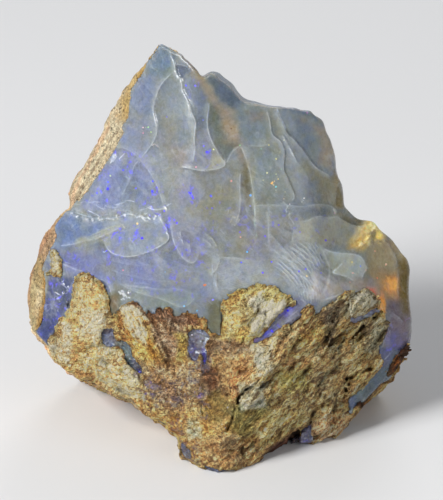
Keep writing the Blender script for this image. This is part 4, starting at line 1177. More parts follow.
def keep_big(verts, quads, least):
    """drops loose crumbs smaller than 'least' faces"""
    n = len(verts)
    lab = np.arange(n)
    e = np.concatenate([quads[:, [0, 1]], quads[:, [1, 2]], quads[:, [2, 3]], quads[:, [3, 0]]])
    while True:
        m = np.minimum(lab[e[:, 0]], lab[e[:, 1]])
        new = lab.copy()
        np.minimum.at(new, e[:, 0], m)
        np.minimum.at(new, e[:, 1], m)
        new = new[new]
        new = new[new]
        if (new == lab).all():
            break
        lab = new
    fl = lab[quads[:, 0]]
    ids, cnt = np.unique(fl, return_counts=True)
    good = ids[cnt >= least]
    keep = np.isin(fl, good)
    quads = quads[keep]
    used = np.unique(quads)
    remap = np.full(n, -1); remap[used] = np.arange(len(used))
    return verts[used], remap[quads]


def settle(verts, which, times=1):
    """moves each vertex onto the true surface"""
    e = 0.05
    for _ in range(times):
        f = evaluate(verts, which)
        g = np.stack([(evaluate(verts + np.eye(3)[i] * e, which) - f) / e for i in range(3)], 1)
        g2 = np.maximum((g * g).sum(1), 0.2)
        step = -(f / g2)[:, None] * g
        L = np.linalg.norm(step, axis=1, keepdims=True)
        step *= np.minimum(1, 0.12 / np.maximum(L, 1e-9))
        verts = verts + step
        verts[:, 2] = np.maximum(verts[:, 2], 0)
    return verts


def hidden(verts, which):
    """1 where a vertex lies on a contact inside the stone, 0 where it can be seen"""
    sp = Spot(verts)
    relief, rim = sample([RELIEF, RIM], sp.px, sp.py)
    front, back = sp.faces(relief)
    F = smax(front, smax(back, rim / sp.s, 0.6), 0.55)
    F = np.maximum(F, -verts[:, 2])
    return sstep(1.0, 1.6, -F).astype(np.float32)


def thin(ob, verts, which, most):
    """collapses the unseen contact faces until the mesh has at most 'most' triangles"""
    tris = 2 * len(ob.data.polygons)
    if tris <= most:
        return ob
    w = hidden(verts, which)
    g = ob.vertex_groups.new(name="unseen")
    q = np.round(w * 10).astype(int)
    for k in range(1, 11):
        ids = np.nonzero(q == k)[0]
        if len(ids):
            g.add(ids.tolist(), k / 10.0, "REPLACE")
    d = ob.modifiers.new("thin", "DECIMATE")
    d.ratio = most / tris
    d.vertex_group = "unseen"
    d.vertex_group_factor = 1.0
    dg = bpy.context.evaluated_depsgraph_get()
    me = bpy.data.meshes.new_from_object(ob.evaluated_get(dg))
    ob.modifiers.clear()
    ob.vertex_groups.clear()
    old = ob.data
    me.name = old.name + "_thin"
    ob.data = me
    bpy.data.meshes.remove(old)
    left = sum(len(f.vertices) - 2 for f in me.polygons)
    if left > most:                          # the flattest visible faces make up the rest
        d = ob.modifiers.new("thin", "DECIMATE")
        d.ratio = most / left
        dg = bpy.context.evaluated_depsgraph_get()
        old = me
        me = bpy.data.meshes.new_from_object(ob.evaluated_get(dg))
        ob.modifiers.clear()
        me.name = ob.name + "_mesh"
        ob.data = me
        bpy.data.meshes.remove(old)
    me.shade_smooth()
    return ob


def make_mesh(name, verts, quads):
    me = bpy.data.meshes.new(name)
    me.vertices.add(len(verts))
    me.vertices.foreach_set("co", (verts / 1000.0).astype(np.float32).ravel())
    me.loops.add(len(quads) * 4)
    me.loops.foreach_set("vertex_index", quads.astype(np.int32).ravel())
    me.polygons.add(len(quads))
    me.polygons.foreach_set("loop_start", np.arange(0, len(quads) * 4, 4, dtype=np.int32))
    me.update(calc_edges=True)
    me.validate()
    me.shade_smooth()
    ob = bpy.data.objects.new(name, me)
    bpy.context.scene.collection.objects.link(ob)
    return ob


def set_color(me, name, rgb):
    at = me.color_attributes.new(name, "FLOAT_COLOR", "POINT")
    d = np.ones((len(rgb), 4), np.float32)
    d[:, :3] = rgb
    at.data.foreach_set("color", d.ravel())


print("maps %.1fs" % (time.time() - T0))

HO, HR, HI_ = ((0.29, 0.26, 0.29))
PIECES = {}
for which, name, h, least in (("opal", "opal_body", HO, 60), ("rock", "host_rock_matrix", HR, 500), ("rind", "rind_crust", HI_, 60)):
    t = time.time()
    v, q = surface(which, h)
    v, q = keep_big(v, q, least)
    v = settle(v, which, 1)
    ob = make_mesh(name, v, q)
    full = 2 * len(q)
    ob = thin(ob, v, which, 196000)
    v = np.empty(len(ob.data.vertices) * 3, np.float32)
    ob.data.vertices.foreach_get("co", v)
    v = v.reshape(-1, 3).astype(np.float64) * 1000.0
    PIECES[which] = (ob, v)
    print("%s: %d triangles made, %d kept, %.1fs" % (name, full, sum(len(p.vertices) - 2 for p in ob.data.polygons), time.time() - t))
    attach(ob, "root")
    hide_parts("rough_opal")


# ------------------------------------------------------------------ colour on the meshes
def sample3(img, px, py):
    return np.stack(sample([img[..., 0], img[..., 1], img[..., 2]], px, py), 1)


def blend(a, b, t):
    t = np.asarray(t)[:, None]
    return a * (1 - t) + b * t


def set_vector(me, name, arr):
    at = me.attributes.new(name, "FLOAT_VECTOR", "POINT")
    at.data.foreach_set("vector", np.ascontiguousarray(arr, dtype=np.float32).ravel())


def hue(P, scale, seed):
    q = P / scale + seed
    return noise(q[:, 0], q[:, 1], q[:, 2])


def dress(which, ob, P):
    me = ob.data
    sp = Spot(P)
    relief, rim, sdr = sample([RELIEF, RIM, SD_ROCK], sp.px, sp.py)
    front, back = sp.faces(relief)
    depth = -front
    rest = smax(back, rim / sp.s, 0.6)
    F = smax(front, rest, 0.55)
    deep = sstep(1.0, 4.5, depth)
    if which == "opal":
        t = sample3(TINT, sp.px, sp.py)
        g = np.tile(lin(142, 150, 158), (len(P), 1))
        g = blend(g, lin(160, 160, 152), sstep(-0.1, 0.5, hue(P, 11.0, 3.1)))
        g = blend(g, lin(134, 140, 174), 0.8 * sstep(0.0, 0.5, hue(P, 12.0, 8.4)))
        g = blend(g, lin(116, 128, 142), 0.8 * sstep(0.0, 0.5, hue(P, 8.0, 5.2)))
        g = blend(g, lin(150, 138, 108), 0.55 * sstep(0.05, 0.5, hue(P, 9.0, 12.2)))
        g = blend(g, lin(176, 180, 184), 0.5 * sstep(0.15, 0.5, hue(P, 4.5, 15.2)))
        g = blend(g, lin(122, 104, 62), sstep(26, 34, sp.u + 2 * hue(P, 6.0, 1.0)) * sstep(52, 40, P[:, 2]) * 0.9)
        t = t * (1 - 0.32 * np.clip(sample([SHADE], sp.px, sp.py)[0], -1, 1.2))[:, None]
        t = blend(t, g, deep)
        s, m = sample([EDGE_S, EDGE_M], sp.px, sp.py)
        m = m * sstep(2.2, 0.8, depth)
        _r, bs, bk = shell(P)
        far = sstep(3.0, 4.5, depth)
        s = np.where(far > 0, np.clip(bs, -9, 9), s)
        m = np.where(far > 0, 0.62 * far * bk, m)
        set_color(me, "tint", t)
        set_vector(me, "edge", np.stack([s, m, sample([LINES], sp.px, sp.py)[0] * (1 - deep)], 1))
        set_color(me, "edge_tint", blend(sample3(EDGE_C, sp.px, sp.py), np.tile(lin(186, 194, 204), (len(P), 1)), far))
        dx, dy, r = sample([DOT_X, DOT_Y, DOT_R], sp.px, sp.py)
        set_vector(me, "spark", np.stack([dx, dy, r * sstep(2.2, 0.8, depth)], 1))
        set_color(me, "spark_tint", sample3(DOT_C, sp.px, sp.py))
        cc, cm, cd, cn = sample([COMB_C, COMB_M, COMB_D, COMB_N], sp.px, sp.py)
        on = sstep(2.0, 0.8, depth)
        set_vector(me, "comb_a", np.stack([cc, cm * on, 0 * cc], 1))
        set_vector(me, "comb_b", np.stack([cd, cn * on, 0 * cc], 1))
        fire, dust = sample([FIRE, DUST], sp.px, sp.py)
        fire = fire * (1 - deep) + deep * np.clip(0.25 + 0.8 * hue(P, 12.0, 6.6), 0, 1)
        set_vector(me, "zone", np.stack([fire, dust * (1 - deep), deep], 1))
    elif which == "rock":
        t = sample3(ROCKT, sp.px, sp.py)
        g = np.tile(lin(190, 156, 104), (len(P), 1))
        g = blend(g, lin(150, 114, 74), sstep(-0.1, 0.5, hue(P, 5.0, 3.1)))
        g = blend(g, lin(208, 190, 148), 0.9 * sstep(0.05, 0.5, hue(P, 4.0, 8.4)))
        g = blend(g, lin(120, 84, 60), 0.8 * sstep(0.15, 0.6, hue(P, 6.0, 5.2)))
        g = blend(g, lin(140, 132, 84), 0.7 * sstep(0.2, 0.6, hue(P, 7.0, 9.9)))
        t = blend(t, g, sstep(1.5, 6.0, depth))
        v = sample([ROCKV], sp.px, sp.py)[0] * (1 - deep)
        set_color(me, "tint", t)
        right = sstep(-4, 6, sp.u - 0.1 * sp.v) * sstep(9, 3, depth)
        rim_dark = np.exp(-((sdr + 0.2) / 1.6) ** 2) * sstep(3.0, 1.0, depth)
        sdp = sample([SD_POCKET], sp.px, sp.py)[0]
        rim_dark = np.maximum(rim_dark, np.exp(-((sdp - 0.2) / 1.8) ** 2) * sstep(3.0, 1.0, depth))
        pit = sample([PIT], sp.px, sp.py)[0] * sstep(4, 2, depth)
        set_vector(me, "zone", np.stack([np.clip(-F / 0.7 + 1.3 * np.maximum(pit, 0) + 0.9 * np.minimum(pit, 0), -1, 1), v, right], 1))
        set_vector(me, "spot", np.stack([rim_dark, sample([CALM], sp.px, sp.py)[0] * sstep(3, 1, depth), sample([FIBRE], sp.px, sp.py)[0] * sstep(3, 1, depth)], 1))
    else:
        t = sample3(RINDT, sp.px, sp.py)
        g = np.tile(lin(206, 176, 130), (len(P), 1))
        g = blend(g, lin(224, 204, 166), 0.9 * sstep(0.0, 0.5, hue(P, 4.5, 3.1)))
        g = blend(g, lin(184, 134, 84), 0.9 * sstep(0.05, 0.5, hue(P, 6.0, 8.4)))
        g = blend(g, lin(214, 158, 118), 0.8 * sstep(0.1, 0.5, hue(P, 7.0, 5.2)))
        t = blend(t, g, sstep(1.0, 4.0, depth))
        kk = sample([RINDK], sp.px, sp.py)[0] * (1 - deep)
        set_color(me, "tint", t)
        set_vector(me, "zone", np.stack([np.clip(-F / 0.5, -1, 1), kk, deep], 1))


# ------------------------------------------------------------------ node helpers
class Mat:
    def __init__(self, name):
        self.m = bpy.data.materials.new(name)
        self.m.use_nodes = True
        self.t = self.m.node_tree
        self.b = self.t.nodes["Principled BSDF"]
        tc = self.t.nodes.new("ShaderNodeTexCoord")
        self.o = tc.outputs["Object"]

    def put(self, node, key, v):
        if v is None:
            return
        s = node.inputs[key]
        if isinstance(v, bpy.types.NodeSocket):
            self.t.links.new(v, s)
        else:
            s.default_value = v

    def math(self, op, a, b=None, c=None, clamp=False):
        n = self.t.nodes.new("ShaderNodeMath")
        n.operation = op
        n.use_clamp = clamp
        self.put(n, 0, a); self.put(n, 1, b); self.put(n, 2, c)
        return n.outputs[0]

    def rng(self, v, a, b, c=0.0, d=1.0, smooth=False):
        n = self.t.nodes.new("ShaderNodeMapRange")
        n.interpolation_type = "SMOOTHSTEP" if smooth else "LINEAR"
        self.put(n, "Value", v)
        for k, x in (("From Min", a), ("From Max", b), ("To Min", c), ("To Max", d)):
            self.put(n, k, x)
        return n.outputs["Result"]

    def mix(self, fac, a, b, how="MIX"):
        n = self.t.nodes.new("ShaderNodeMix")
        n.data_type = "RGBA"
        n.blend_type = how
        self.put(n, 0, fac)
        self.put(n, 6, a if isinstance(a, bpy.types.NodeSocket) else tuple(a) + (1,))
        self.put(n, 7, b if isinstance(b, bpy.types.NodeSocket) else tuple(b) + (1,))
        return n.outputs[2]

    def scale(self, col, v):
        """colour times a number"""
        n = self.t.nodes.new("ShaderNodeVectorMath")
        n.operation = "SCALE"
        self.put(n, 0, col)
        self.put(n, "Scale", v)
        return n.outputs[0]

    def noise(self, scale, detail=2.0, rough=0.5, vec=None, warp=0.0):
        n = self.t.nodes.new("ShaderNodeTexNoise")
        self.put(n, "Vector", vec or self.o)
        self.put(n, "Scale", float(scale)); self.put(n, "Detail", float(detail))
        self.put(n, "Roughness", rough); self.put(n, "Distortion", warp)
        return n.outputs["Fac"]

    def cells(self, scale, vec=None, feature="F1", rand=1.0):
        n = self.t.nodes.new("ShaderNodeTexVoronoi")
        n.feature = feature
        self.put(n, "Vector", vec or self.o)
        self.put(n, "Scale", float(scale)); self.put(n, "Randomness", rand)
        return n

    def attr(self, name):
        n = self.t.nodes.new("ShaderNodeAttribute")
        n.attribute_name = name
        return n

    def split(self, vec):
        n = self.t.nodes.new("ShaderNodeSeparateXYZ")
        self.put(n, 0, vec)
        return n.outputs

    def ramp(self, fac, stops):
        n = self.t.nodes.new("ShaderNodeValToRGB")
        self.put(n, 0, fac)
        e = n.color_ramp.elements
        while len(e) < len(stops):
            e.new(0.5)
        for el, (p, c) in zip(e, stops):
            el.position = p
            el.color = tuple(c) + (1,) if len(c) == 3 else c
        return n.outputs[0]

    def stretch(self, sx, sy, sz, rot=(0, 0, 0)):
        n = self.t.nodes.new("ShaderNodeMapping")
        n.vector_type = "TEXTURE"
        self.put(n, 0, self.o)
        n.inputs["Rotation"].default_value = rot
        n.inputs["Scale"].default_value = (sx, sy, sz)
        return n.outputs[0]

    def frame3(self, rows, base=None):
        """coordinates measured along three given directions, each with its own scale"""
        c = self.t.nodes.new("ShaderNodeCombineXYZ")
        for k, (v, f) in enumerate(rows):
            d = self.t.nodes.new("ShaderNodeVectorMath")
            d.operation = "DOT_PRODUCT"
            self.put(d, 0, base or self.o)
            d.inputs[1].default_value = tuple(q * f for q in v)
            self.t.links.new(d.outputs["Value"], c.inputs[k])
        return c.outputs[0]

    def warped(self, scale, amount):
        n = self.t.nodes.new("ShaderNodeTexNoise")
        self.put(n, "Vector", self.o)
        self.put(n, "Scale", float(scale)); self.put(n, "Detail", 2.0)
        m = self.t.nodes.new("ShaderNodeVectorMath")
        m.operation = "MULTIPLY_ADD"
        self.put(m, 0, n.outputs["Color"])
        m.inputs[1].default_value = (amount,) * 3
        self.put(m, 2, self.o)
        return m.outputs[0]

    def bump(self, height, dist, strength=1.0, normal=None):
        n = self.t.nodes.new("ShaderNodeBump")
        self.put(n, "Height", height); self.put(n, "Distance", dist); self.put(n, "Strength", strength)
        if normal is not None:
            self.put(n, "Normal", normal)
        return n.outputs[0]

    def set(self, **kw):
        for k, v in kw.items():
            self.put(self.b, k.replace("_", " "), v)


def opal_material():
    M = Mat("opal_milky")
    tint = M.attr("tint").outputs["Color"]
    S, E, glow = M.split(M.attr("edge").outputs["Vector"])
    fire, dust, deep = M.split(M.attr("zone").outputs["Vector"])
    dx, dy, dr = M.split(M.attr("spark").outputs["Vector"])
    slow = M.noise(120, 3, 0.55)
    mid = M.noise(420, 4, 0.6, warp=0.3)
    fine = M.noise(1500, 3, 0.55)
    col = M.scale(tint, M.rng(mid, 0.3, 0.7, 0.94, 1.06))
    col = M.mix(M.rng(slow, 0.45, 0.75, 0.0, 0.14), col, tuple(lin(168, 176, 180)))
    # broad violet sheen, then small flashes
    sheen = M.math("MULTIPLY", fire, M.rng(M.noise(210, 2, 0.5, warp=0.4), 0.46, 0.66, 0, 1, True))
    col = M.mix(M.math("MULTIPLY", sheen, 0.14), col, tuple(lin(116, 116, 216)))
    # grey-green and grey-blue grain inside the stone
    hn = M.noise(520, 4, 0.62, warp=0.5)
    hm = M.noise(1900, 3, 0.6)
    warm = M.math("ADD", M.math("MULTIPLY", hn, 0.7), M.math("MULTIPLY", hm, 0.3))
    k1 = M.t.nodes.new("ShaderNodeVectorMath"); k1.operation = "MULTIPLY"
    M.put(k1, 0, col)
    M.put(k1, 1, M.ramp(warm, [(0.34, (1.05, 1.02, 0.90)), (0.50, (1.0, 1.0, 1.0)), (0.66, (0.95, 0.98, 1.08))]))
    col = k1.outputs[0]
    fl = M.noise(1050, 2.6, 0.56, warp=0.9)
    gate = M.rng(M.noise(360, 1.5, 0.5), 0.46, 0.58, 0, 1, True)
    flash = M.math("MULTIPLY", M.math("MULTIPLY", M.rng(fl, 0.57, 0.70, 0, 1, True), gate), M.rng(fire, 0.15, 0.9, 0, 1))
    halo = M.math("MULTIPLY", M.math("MULTIPLY", M.rng(fl, 0.44, 0.62, 0, 1, True), gate), M.rng(fire, 0.15, 0.9, 0, 1))
    col = M.mix(M.math("MULTIPLY", halo, 0.22), col, tuple(lin(118, 116, 232)))
    col = M.mix(M.math("MULTIPLY", flash, 0.74), col, M.mix(hm, tuple(lin(84, 88, 250)), tuple(lin(120, 104, 240))))
    # fine wisps, the ripples and hair fractures of a conchoidal break
    nw = M.noise(150, 2, 0.35, warp=1.1)
    w1 = M.math("ABSOLUTE", M.math("SUBTRACT", M.math("FRACT", M.math("MULTIPLY", nw, 5.0)), 0.5))
    w1 = M.rng(w1, 0.05, 0.015, 0, 1, True)
    w1 = M.math("MULTIPLY", w1, M.rng(M.noise(260, 2, 0.5), 0.50, 0.62, 0, 1, True))
    nv = M.noise(70, 3, 0.45, warp=0.7)
    w2 = M.math("ABSOLUTE", M.math("SUBTRACT", M.math("FRACT", M.math("MULTIPLY", nv, 4.0)), 0.5))
    w2 = M.rng(w2, 0.022, 0.004, 0, 1, True)
    w2 = M.math("MULTIPLY", w2, M.rng(M.noise(190, 2, 0.5), 0.46, 0.60, 0, 1, True))
    wisp = M.math("MAXIMUM", M.math("MULTIPLY", w1, M.rng(deep, 0, 1, 0.0, 0.03)), M.math("MULTIPLY", w2, M.rng(deep, 0, 1, 0.10, 0.08)))
    col = M.mix(wisp, col, tuple(lin(206, 214, 222)))
    soft = M.noise(2500, 3, 0.7)
    col = M.scale(col, M.rng(soft, 0.32, 0.68, 0.91, 1.09))
    # milky veil with fine parallel growth streaks, turned with the face
    st = M.frame3([((0.62, 0.36, -0.69), 0.22), ((0.74, -0.10, 0.66), 1.0), ((0.2, 0.9, 0.2), 0.6)], base=M.warped(240, 0.0035))
    sv = M.noise(900, 3, 0.6, vec=st)
    veil = M.math("MULTIPLY", M.rng(sv, 0.50, 0.66, 0, 1, True), M.rng(M.noise(140, 2, 0.5), 0.44, 0.60, 0, 1, True))
    col = M.mix(M.math("MULTIPLY", veil, 0.13), col, tuple(lin(214, 220, 226)))
    # combs of fine ripples
    combs = None
    for name, rag in (("comb_a", 520), ("comb_b", 700)):
        c0, cm, _z = M.split(M.attr(name).outputs["Vector"])
        ph = M.math("FRACT", M.math("ADD", c0, M.math("MULTIPLY", M.math("SUBTRACT", M.noise(330, 3, 0.55), 0.5), 1.9)))
        up = M.math("MULTIPLY", M.rng(ph, 0.0, 0.14, 0, 1, True), M.rng(ph, 0.46, 0.22, 0, 1, True))
        dn = M.math("MULTIPLY", M.rng(ph, 0.42, 0.58, 0, 1, True), M.rng(ph, 0.86, 0.66, 0, 1, True))
        keep = M.math("MULTIPLY", cm, M.rng(M.noise(rag, 3, 0.6), 0.42, 0.60, 0.06, 1.0, True))
        up = M.math("MULTIPLY", up, keep); dn = M.math("MULTIPLY", dn, keep)
        col = M.mix(M.math("MULTIPLY", up, 0.40), col, tuple(lin(214, 222, 220)))
        col = M.scale(col, M.math("SUBTRACT", 1.0, M.math("MULTIPLY", dn, 0.22)))
        combs = up if combs is None else M.math("ADD", combs, up)
    # pin points of every colour, thinly spread
    vo = M.cells(620)
    cr, cg, cb = M.split(vo.outputs["Color"])
    pin = M.math("MULTIPLY", M.rng(vo.outputs["Distance"], 0.16, 0.09, 0, 1, True), M.math("GREATER_THAN", cr, 0.955))
    pcol = M.ramp(cg, [(0.0, lin(120, 240, 150)), (0.3, lin(250, 226, 140)), (0.55, lin(250, 150, 150)), (0.75, lin(120, 130, 250)), (1.0, lin(120, 210, 250))])
    col = M.mix(M.math("MULTIPLY", pin, 0.8), col, pcol)
    # pale fracture lines and the glow beside them
    col = M.mix(M.math("MULTIPLY", glow, 0.20), col, tuple(lin(186, 194, 202)))
    line = M.math("MULTIPLY", M.math("EXPONENT", M.math("MULTIPLY", M.math("POWER", M.math("DIVIDE", M.math("ABSOLUTE", S), 0.56), 2.0), -1.0)), M.math("POWER", E, 1.5), clamp=True)
    broken = M.rng(M.noise(900, 2, 0.5), 0.30, 0.55, 0.55, 1.0)
    line = M.math("MULTIPLY", line, broken)
    col = M.mix(M.math("MULTIPLY", line, 0.9), col, M.attr("edge_tint").outputs["Color"])
    dust_n = M.math("MULTIPLY", dust, M.rng(M.noise(1300, 4, 0.7), 0.45, 0.7, 0, 1))
    col = M.mix(M.math("MULTIPLY", dust_n, 0.45), col, tuple(lin(182, 186, 186)))
    rr = M.math("SQRT", M.math("ADD", M.math("MULTIPLY", dx, dx), M.math("MULTIPLY", dy, dy)))
    q = M.math("SUBTRACT", M.math("MULTIPLY", dr, M.rng(M.noise(2300, 2, 0.5), 0.36, 0.64, 0.70, 1.55)), rr)
    dot = M.rng(q, -0.05, 0.55, 0, 1, True)
    dot = M.math("MULTIPLY", dot, M.math("GREATER_THAN", dr, 0.15))
    col = M.mix(M.math("MULTIPLY", dot, 0.9), col, M.attr("spark_tint").outputs["Color"])
    rough = M.rng(fine, 0.3, 0.7, 0.21, 0.33)
    rough = M.math("ADD", rough, M.math("MULTIPLY", dust_n, 0.3))
    rough = M.math("ADD", rough, M.math("MULTIPLY", deep, 0.06))
    h = M.math("ADD", M.math("MULTIPLY", fine, 0.5), M.math("MULTIPLY", mid, 1.2))
    h = M.math("ADD", h, M.math("MULTIPLY", line, 1.0))
    h = M.math("ADD", h, M.math("MULTIPLY", wisp, 1.0))
    h = M.math("ADD", h, M.math("MULTIPLY", combs, 1.3))
    nrm = M.bump(h, 0.00006, 0.7)
    M.set(Base_Color=col, Roughness=rough, Normal=nrm, IOR=1.45)
    M.b.subsurface_method = "RANDOM_WALK"
    M.set(Subsurface_Weight=0.8, Subsurface_Scale=0.0026)
    M.b.inputs["Subsurface Radius"].default_value = (1.0, 0.72, 0.5)
    return M.m


def rock_material():
    M = Mat("host_rock_sandy")
    tint = M.attr("tint").outputs["Color"]
    cav, vio, right = M.split(M.attr("zone").outputs["Vector"])
    rimd, calm, fib = M.split(M.attr("spot").outputs["Vector"])
    w = M.warped(900, 0.0013)
    # grains of uneven size, drawn out along the layering of the right face
    lay = M.frame3([((0.70, 0.333, 0.627), 0.42), ((-0.71, 0.329, 0.618), 1.0), ((0.0, 0.883, -0.469), 0.8)], base=w)
    gI = M.cells(1350, w)
    gL = M.cells(1350, lay)
    gS = M.cells(3300, w)
    rI, gcI, bI = M.split(gI.outputs["Color"])
    rL, gcL, bL = M.split(gL.outputs["Color"])
    rS, gcS, bS = M.split(gS.outputs["Color"])

    def pick(p, q):
        n = M.t.nodes.new("ShaderNodeMix")
        M.put(n, 0, right); M.put(n, 2, p); M.put(n, 3, q)
        return n.outputs[0]
    r = pick(rI, rL); g = pick(gcI, gcL)
    dist = pick(gI.outputs["Distance"], gL.outputs["Distance"])
    n1 = M.noise(760, 6, 0.74, warp=0.5)
    n2 = M.noise(190, 4, 0.6, warp=0.3)
    n5 = M.noise(330, 5, 0.68, warp=0.7)
    f1 = M.noise(1150, 4, 0.70, vec=lay, warp=0.3)
    f2 = M.noise(420, 4, 0.66, vec=lay, warp=0.3)
    n3 = M.noise(2300, 3, 0.65, warp=0.5)

    def times(col, v):
        k = M.t.nodes.new("ShaderNodeVectorMath"); k.operation = "MULTIPLY"
        M.put(k, 0, col)
        M.put(k, 1, v)
        return k.outputs[0]
    # each grain has its own colour around the painted one; noise breaks the grain edges up
    rr0 = M.math("ADD", M.math("MULTIPLY", r, 0.50), M.math("MULTIPLY", M.rng(M.noise(1500, 4, 0.7), 0.3, 0.7, 0, 1), 0.50))
    own = M.ramp(rr0, [(0.20, (0.40, 0.34, 0.29)), (0.32, (0.74, 0.63, 0.52)), (0.42, (1.02, 0.93, 0.80)), (0.52, (1.08, 1.04, 0.95)),
                       (0.61, (0.92, 0.98, 0.99)), (0.72, (1.36, 1.35, 1.26)), (0.84, (1.66, 1.64, 1.56))])
    own = M.mix(M.math("MULTIPLY", calm, 0.7), own, (1, 1, 1))
    col = times(tint, own)
    col = times(col, M.ramp(n5, [(0.34, (0.84, 0.98, 1.12)), (0.46, (1.04, 1.05, 1.06)), (0.58, (1.07, 0.95, 0.82)), (0.68, (0.85, 0.70, 0.58))]))
    col = M.scale(col, M.rng(rS, 0, 1, 0.72, 1.30))
    col = M.scale(col, M.rng(n1, 0.28, 0.72, 0.66, 1.34))
    col = M.scale(col, M.rng(n3, 0.32, 0.68, 0.76, 1.26))
    fm = M.mix(M.math("MULTIPLY", right, 0.9), (1, 1, 1), M.ramp(f1, [(0.32, (0.62, 0.58, 0.54)), (0.5, (1, 1, 1)), (0.68, (1.36, 1.36, 1.34))]))
    col = times(col, fm)
    # every grain has a lit and a shaded side
    def shifted(base, d, scale, detail, rough):
        n = M.t.nodes.new("ShaderNodeVectorMath"); n.operation = "ADD"
        M.put(n, 0, base); n.inputs[1].default_value = d
        return M.noise(scale, detail, rough, vec=n.outputs[0], warp=0.3)
    eL = M.math("SUBTRACT", shifted(lay, (0, -0.00010, 0), 1150, 4, 0.70), shifted(lay, (0, 0.00010, 0), 1150, 4, 0.70))
    eI = M.math("SUBTRACT", shifted(w, (0.00006, 0.00003, -0.00007), 1500, 4, 0.70), shifted(w, (-0.00006, -0.00003, 0.00007), 1500, 4, 0.70))
    emb = pick(eI, eL)
    emb = M.math("MULTIPLY", emb, M.rng(calm, 0, 1, 1.0, 0.55))
    emb = M.math("MULTIPLY", emb, M.rng(right, 0, 1, 1.0, 1.32))
    col = M.scale(col, M.rng(emb, -0.11, 0.11, 0.42, 1.62))
    # woody streaks on the tongue and the ridge above it
    fq = M.frame3([((0.46, -0.417, -0.786), 0.13), ((0.89, 0.216, 0.406), 1.0), ((0.0, 0.883, -0.469), 0.6)], base=M.warped(500, 0.0008))
    fn = M.noise(2300, 3, 0.6, vec=fq)
    fn2 = M.noise(900, 3, 0.6, vec=fq)
    col = M.scale(col, M.math("ADD", 1.0, M.math("MULTIPLY", fib, M.math("MULTIPLY", M.math("SUBTRACT", fn, 0.5), 3.4))))
    col = times(col, M.mix(fib, (1, 1, 1), M.ramp(fn2, [(0.36, (0.66, 0.52, 0.36)), (0.5, (1, 0.98, 0.94)), (0.62, (1.22, 1.24, 1.26))])))
    # dark joints between grains, in places
    joint = M.math("MULTIPLY", M.rng(dist, 0.46, 0.70, 0, 1, True), M.rng(n2, 0.42, 0.58, 0.1, 0.75))
    joint = M.math("MULTIPLY", joint, M.rng(calm, 0, 1, 0.9, 0.3))
    col = M.mix(joint, col, tuple(lin(80, 60, 44)))
    col = M.mix(M.math("MULTIPLY", M.rng(n1, 0.41, 0.31, 0, 1), 0.5), col, tuple(lin(70, 52, 38)))
    col = times(col, M.mix(right, (1.90, 1.82, 1.66), (2.10, 2.28, 2.50)))
    top = M.t.nodes.new("ShaderNodeVectorMath"); top.operation = "MINIMUM"
    M.put(top, 0, col); top.inputs[1].default_value = (0.96, 0.88, 0.68)
    col = top.outputs[0]
    col = M.mix(M.rng(cav, 0.14, 0.95, 0, 0.82), col, tuple(lin(52, 36, 24)))
    rr = M.math("MULTIPLY", rimd, M.rng(n1, 0.40, 0.60, 0.05, 0.60))
    col = M.mix(rr, col, tuple(lin(84, 54, 40)))
    vn = M.math("MULTIPLY", vio, M.rng(M.noise(820, 4, 0.65), 0.48, 0.56, 0, 1, True))
    col = M.mix(M.math("MULTIPLY", vn, 0.75), col, M.ramp(f2, [(0.36, lin(84, 74, 110)), (0.5, lin(120, 116, 136)), (0.62, lin(150, 148, 158)), (0.68, lin(90, 80, 220))]))
    glint = M.math("MULTIPLY", M.math("GREATER_THAN", bI, 0.972), M.rng(gI.outputs["Distance"], 0.24, 0.14, 0, 1))
    col = M.mix(M.math("MULTIPLY", glint, 0.75), col, (0.86, 0.86, 0.82))
    rough = M.rng(rS, 0, 1, 0.66, 0.95)
    rough = M.math("SUBTRACT", rough, M.math("MULTIPLY", vn, 0.45))
    h = M.math("SUBTRACT", M.math("MULTIPLY", n1, 1.5), M.math("MULTIPLY", M.math("POWER", dist, 2.0), M.rng(n2, 0.42, 0.58, 0.1, 0.9)))
    h = M.math("ADD", h, M.math("MULTIPLY", n3, 1.7))
    h = M.math("ADD", h, M.math("MULTIPLY", rr0, M.rng(calm, 0, 1, 0.9, 0.2)))
    h = M.math("ADD", h, M.math("MULTIPLY", M.math("MULTIPLY", f1, right), 1.2))
    nrm = M.bump(h, 0.00095, 1.0)
    M.set(Base_Color=col, Roughness=rough, Normal=nrm)
    M.b.inputs["Specular IOR Level"].default_value = 0.25
    return M.m


